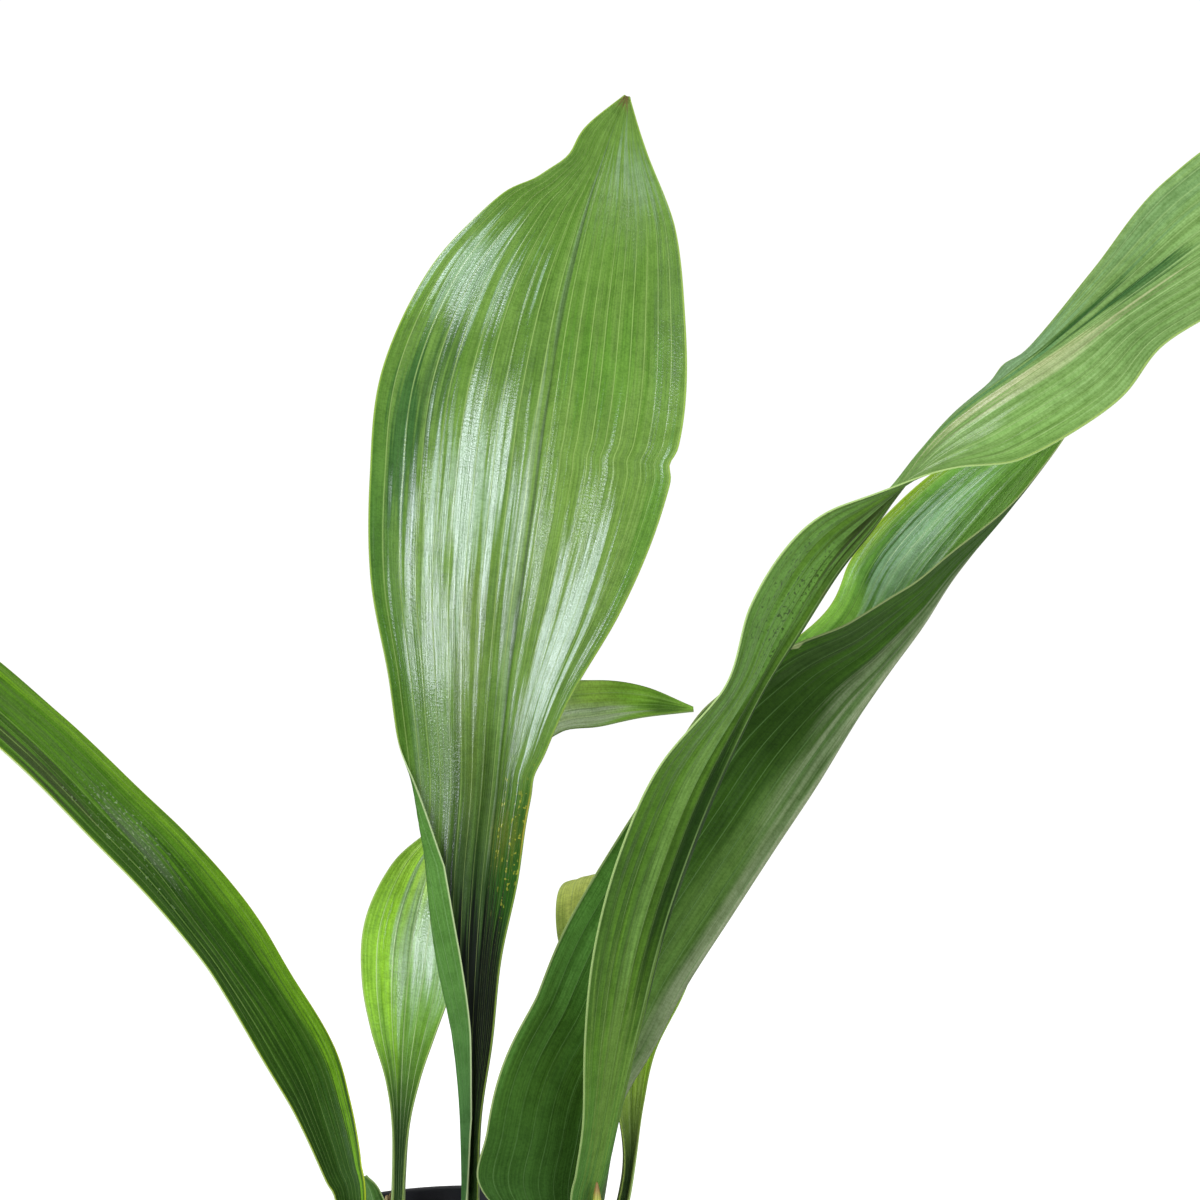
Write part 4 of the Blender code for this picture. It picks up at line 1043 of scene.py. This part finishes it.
# Composted pine bark: flat brown flakes with a lighter broken side
def barkChips():
    made, tree = newMaterial("pine_bark")
    place = addNode(tree, "TexCoord", out=3)
    flake = addNode(tree, "TexNoise", {"Scale": 260.0, "Detail": 3.0}, {"Vector": place})
    fibre = addNode(tree, "TexNoise", {"Scale": 1400.0, "Detail": 2.0}, {"Vector": place})
    colour = tint(tree, pottingMix["barkDark"], pottingMix["barkLight"], flake, (0.4, 0.62))
    closeWorn(tree, colour, (fibre, 0.7, 0.9), (fibre, 0.8, 0.3))
    return made


# Perlite: puffed white volcanic glass, chalky, stained by the peat
def perlite():
    made, tree = newMaterial("perlite")
    place = addNode(tree, "TexCoord", out=3)
    pores = addNode(tree, "TexNoise", {"Scale": 1800.0, "Detail": 2.0}, {"Vector": place})
    colour = tint(tree, pottingMix["grit"], pottingMix["crumb"], pores, (0.45, 0.7), (0.0, 0.7))
    relief = addNode(tree, "Bump", {"Strength": 0.7, "Distance": 0.2 * mm}, {"Height": pores})
    closeMaterial(tree, {"Roughness": 0.85}, {"Base Color": colour, "Normal": relief})
    return made


# leaf, height above the stub, and the direction of the slanting top in degrees
sheaths = [
    (tallUpright, 26, 35), (leftArching, 22, 200), (backLeft, 24, 120),
    (smallBent, 18, 80), (backArching, 13, 20), (rightTwisted, 16, 300),
]
# Sizes in mm, turns in radians. The tear is depth, place and reach; the lean is how much the top
# slants, and the winding is how far the paper spreads in one turn.
paper = {
    "foot": 120.3, "around": 64, "along": 40, "overlap": 1.1, "thick": 0.35, "room": 0.8, "clear": 1.0,
    "winding": 0.55, "evenShare": 0.85, "lean": 0.28, "tear": (0.25, 3.6, 0.3), "fluting": 0.13, "flare": 0.7,
    "straw": "#A58B58", "brown": "#6B4D2C", "pale": "#C9B489", "green": "#7C8048",
}


# a rolled sheet from a grid of points, with a map of its turns and its height
def rollSheet(name, points, thickness, offset, made):
    piece, row, column = layGrid(name, points * mm)
    addMap(piece, "roll", column / (points.shape[1] - 1), row / (points.shape[0] - 1))
    solidify(piece, thickness, offset)
    piece.data.materials.append(made)
    applyAll(piece)
    return piece


def wrapSheath(leaf, height, slantTurn, made):
    points = leafSurface(leaf)[0]
    centres = points.mean(axis=1)
    reach = np.linalg.norm(points - centres[:, None, :], axis=2).max(axis=1) + paper["room"]
    seed = leaf["seed"]
    turn = np.linspace(0, math.tau + paper["overlap"], paper["around"] + 1)
    share = np.linspace(0, 1, paper["along"] + 1)[:, None]
    ragged = 0.05 * drift(turn * 0.9, seed) + 0.03 * np.sin(turn * 9 + seed)
    ragged = ragged + 0.02 * np.sin(turn * 23 + 2 * seed)
    tear, tearAt, tearReach = paper["tear"]
    slant = paper["lean"] * np.cos(turn - math.radians(slantTurn)) - tear * hump(turn, tearAt, tearReach)
    z = paper["foot"] + height * share * (paper["evenShare"] + (slant + ragged)[None, :] * share)
    middle = np.stack([np.interp(z, centres[:, 2], centres[:, k]) for k in range(2)], 2)
    radius = np.interp(z, centres[:, 2], reach) + paper["clear"] + paper["winding"] * turn[None, :] / math.tau
    flutes = paper["fluting"] * np.cos(26 * turn + 0.6 * drift(turn, seed))[None, :] * (0.4 + share)
    radius += flutes + paper["flare"] * share**4 * (1.1 + np.sin(2 * turn + seed))
    x = middle[:, :, 0] + radius * np.cos(turn)
    y = middle[:, :, 1] + radius * np.sin(turn)
    name = leaf["node"].replace("leaf_", "papery_")
    piece = rollSheet(name, np.stack([x, y, z], 2), paper["thick"], 0, made)
    hand(piece, leaf["node"].replace("leaf_", "sheath_"), 60)


# Dried scale leaf: thin straw-brown paper with darker parallel fibres, frayed and paler at its edge
def driedScale():
    made, tree = newMaterial("dried_scale_leaf")
    flat = addNode(tree, "UVMap", {"uv_map": "roll"})
    split = addNode(tree, "SeparateXYZ", {}, {0: flat}).node
    place = addNode(tree, "TexCoord", out=3)
    drawn = addNode(tree, "Mapping", {"Scale": (60, 2.5, 1)}, {0: flat})
    fibre = addNode(tree, "TexNoise", {"Scale": 1.0, "Detail": 3.0, "Roughness": 0.6}, {"Vector": drawn})
    blotch = addNode(tree, "TexNoise", {"Scale": 180.0, "Detail": 3.0}, {"Vector": place})
    colour = tint(tree, paper["straw"], paper["brown"], fibre, (0.4, 0.65))
    colour = tint(tree, colour, paper["green"], split.outputs[1], (0.0, 0.45), (0.6, 0.0))
    colour = tint(tree, colour, paper["pale"], blotch, (0.5, 0.7), (0.0, 0.7))
    closeWorn(tree, colour, (blotch, 0.6, 0.85), (fibre, 0.9, 0.25))
    return made


# A station is x, y, z and radius in mm.
shoot = {
    "around": 60, "along": 90, "overlap": 1.4, "thick": 0.45, "twist": 0.9, "start": 3.4, "innerShare": 0.8,
    "stations": [
        (53, -27, 120.3, 4.0), (53.8, -28, 134, 4.3), (54, -29, 149, 3.4), (53.9, -29, 160, 2.0),
        (53.8, -29, 167, 0.4),
    ],
    "yellow": "#B9B840", "green": "#7E9A34", "tip": "#8C6A34",
}


def rollShoot():
    rows = smoothLine(shoot["stations"], shoot["along"] + 1)[0]
    turn = np.linspace(0, math.tau + shoot["overlap"], shoot["around"] + 1)
    share = np.linspace(0, 1, len(rows))[:, None]
    twist = turn[None, :] + shoot["twist"] * share + shoot["start"]
    rolled = shoot["innerShare"] + 0.2 * turn[None, :] / turn[-1]
    radius = rows[:, 3][:, None] * rolled * (1 + 0.03 * np.cos(15 * turn)[None, :])
    x = rows[:, 0][:, None] + radius * np.cos(twist)
    y = rows[:, 1][:, None] + radius * np.sin(twist)
    z = np.repeat(rows[:, 2][:, None], len(turn), 1)
    piece = rollSheet("new_shoot", np.stack([x, y, z], 2), shoot["thick"], -1, shootSkin())
    hand(piece, "shoot_bud", 60)


# A rolled new leaf in its scale: waxy yellow-green with faint veins and a brown, drying tip
def shootSkin():
    made, tree = newMaterial("rolled_shoot")
    flat = addNode(tree, "UVMap", {"uv_map": "roll"})
    split = addNode(tree, "SeparateXYZ", {}, {0: flat}).node
    drawn = addNode(tree, "Mapping", {"Scale": (34, 2, 1)}, {0: flat})
    fibre = addNode(tree, "TexNoise", {"Scale": 1.0, "Detail": 2.0}, {"Vector": drawn})
    colour = tint(tree, shoot["yellow"], shoot["green"], fibre, (0.35, 0.7))
    tip = {"interpolation_type": "SMOOTHSTEP", 1: 0.82, 2: 0.97}
    colour = tint(tree, colour, shoot["tip"], addNode(tree, "MapRange", tip, {0: split.outputs[1]}))
    closeWorn(tree, colour, (fibre, 0.4, 0.6), (fibre, 0.6, 0.2), {"IOR": 1.45})
    return made


# distances in metres; each light is name, place, target, size, watts and colour
studio = {
    "camera": (0.055, -0.944, 0.396), "lens": 69.8, "sensor": 36.0, "floorRadius": 40,
    "sky": 0.24, "backdrop": 1.05, "glow": 0.92, "spill": 0.16,
    "lights": [
        ("windowLeft", (-1.1, -1.7, 0.66), (0, 0, 0.4), (1.05, 0.85), 26, "#EEF6FF"),
        ("windowRight", (1.1, -1.7, 0.66), (0, 0, 0.4), (1.05, 0.85), 23, "#EEF6FF"),
        ("top", (-0.5, -0.3, 2.0), (0, 0, 0.3), (1.2, 1.2), 18, "#FFFFFF"),
    ],
}


def setStage():
    bpy.ops.object.select_all(action="DESELECT")
    bpy.ops.mesh.primitive_circle_add(
        vertices=96, radius=studio["floorRadius"], fill_type="NGON", location=(0, 0, 0)
    )
    floor = bpy.context.object
    floor.name = "floor"
    made, tree = newMaterial("lit_paper")
    seen = addNode(tree, "LightPath")
    glow = addNode(tree, "MapRange", {3: studio["spill"], 4: studio["glow"]}, {0: seen})
    closeMaterial(
        tree,
        {"Base Color": (0.6, 0.6, 0.6, 1), "Roughness": 0.95, "Specular IOR Level": 0.0,
         "Emission Color": (1, 1, 1, 1)},
        {"Emission Strength": glow},
    )
    floor.data.materials.append(made)


def softbox(name, place, target, size, watts, colour):
    light = bpy.data.lights.new(name, "AREA")
    light.shape = "RECTANGLE"
    light.size, light.size_y = size
    light.energy = watts
    light.color = linear(colour)[:3]
    lamp = bpy.data.objects.new(name, light)
    lamp.location = place
    lamp.visible_camera = False
    lamp.rotation_euler = (Vector(target) - Vector(place)).to_track_quat("-Z", "Y").to_euler()
    bpy.context.scene.collection.objects.link(lamp)


def lightStudio():
    world = bpy.data.worlds.new("studio")
    bpy.context.scene.world = world
    world.use_nodes = True
    tree = world.node_tree
    tree.nodes.clear()
    seen = addNode(tree, "LightPath")
    strength = addNode(tree, "MapRange", {3: studio["sky"], 4: studio["backdrop"]}, {0: seen})
    sky = addNode(tree, "Background", {0: (1, 1, 1, 1)}, {1: strength})
    addNode(tree, "OutputWorld", {}, {0: sky})
    for light in studio["lights"]:
        softbox(*light)
    bpy.context.scene.view_settings.view_transform = "Standard"


def setCamera():
    data = bpy.data.cameras.new("camera")
    data.lens = studio["lens"]
    data.sensor_width = studio["sensor"]
    camera = bpy.data.objects.new("camera", data)
    camera.location = studio["camera"]
    camera.rotation_euler = (math.radians(90), 0, 0)
    bpy.context.scene.collection.objects.link(camera)
    bpy.context.scene.camera = camera


for leaf in leaves:
    growLeaf(leaf)
growRhizome()
fillSoil()
mouldPot()
scaleLeaf = driedScale()
for leaf, height, turn in sheaths:
    wrapSheath(leaf, height, turn, scaleLeaf)
rollShoot()
setStage()
lightStudio()
setCamera()
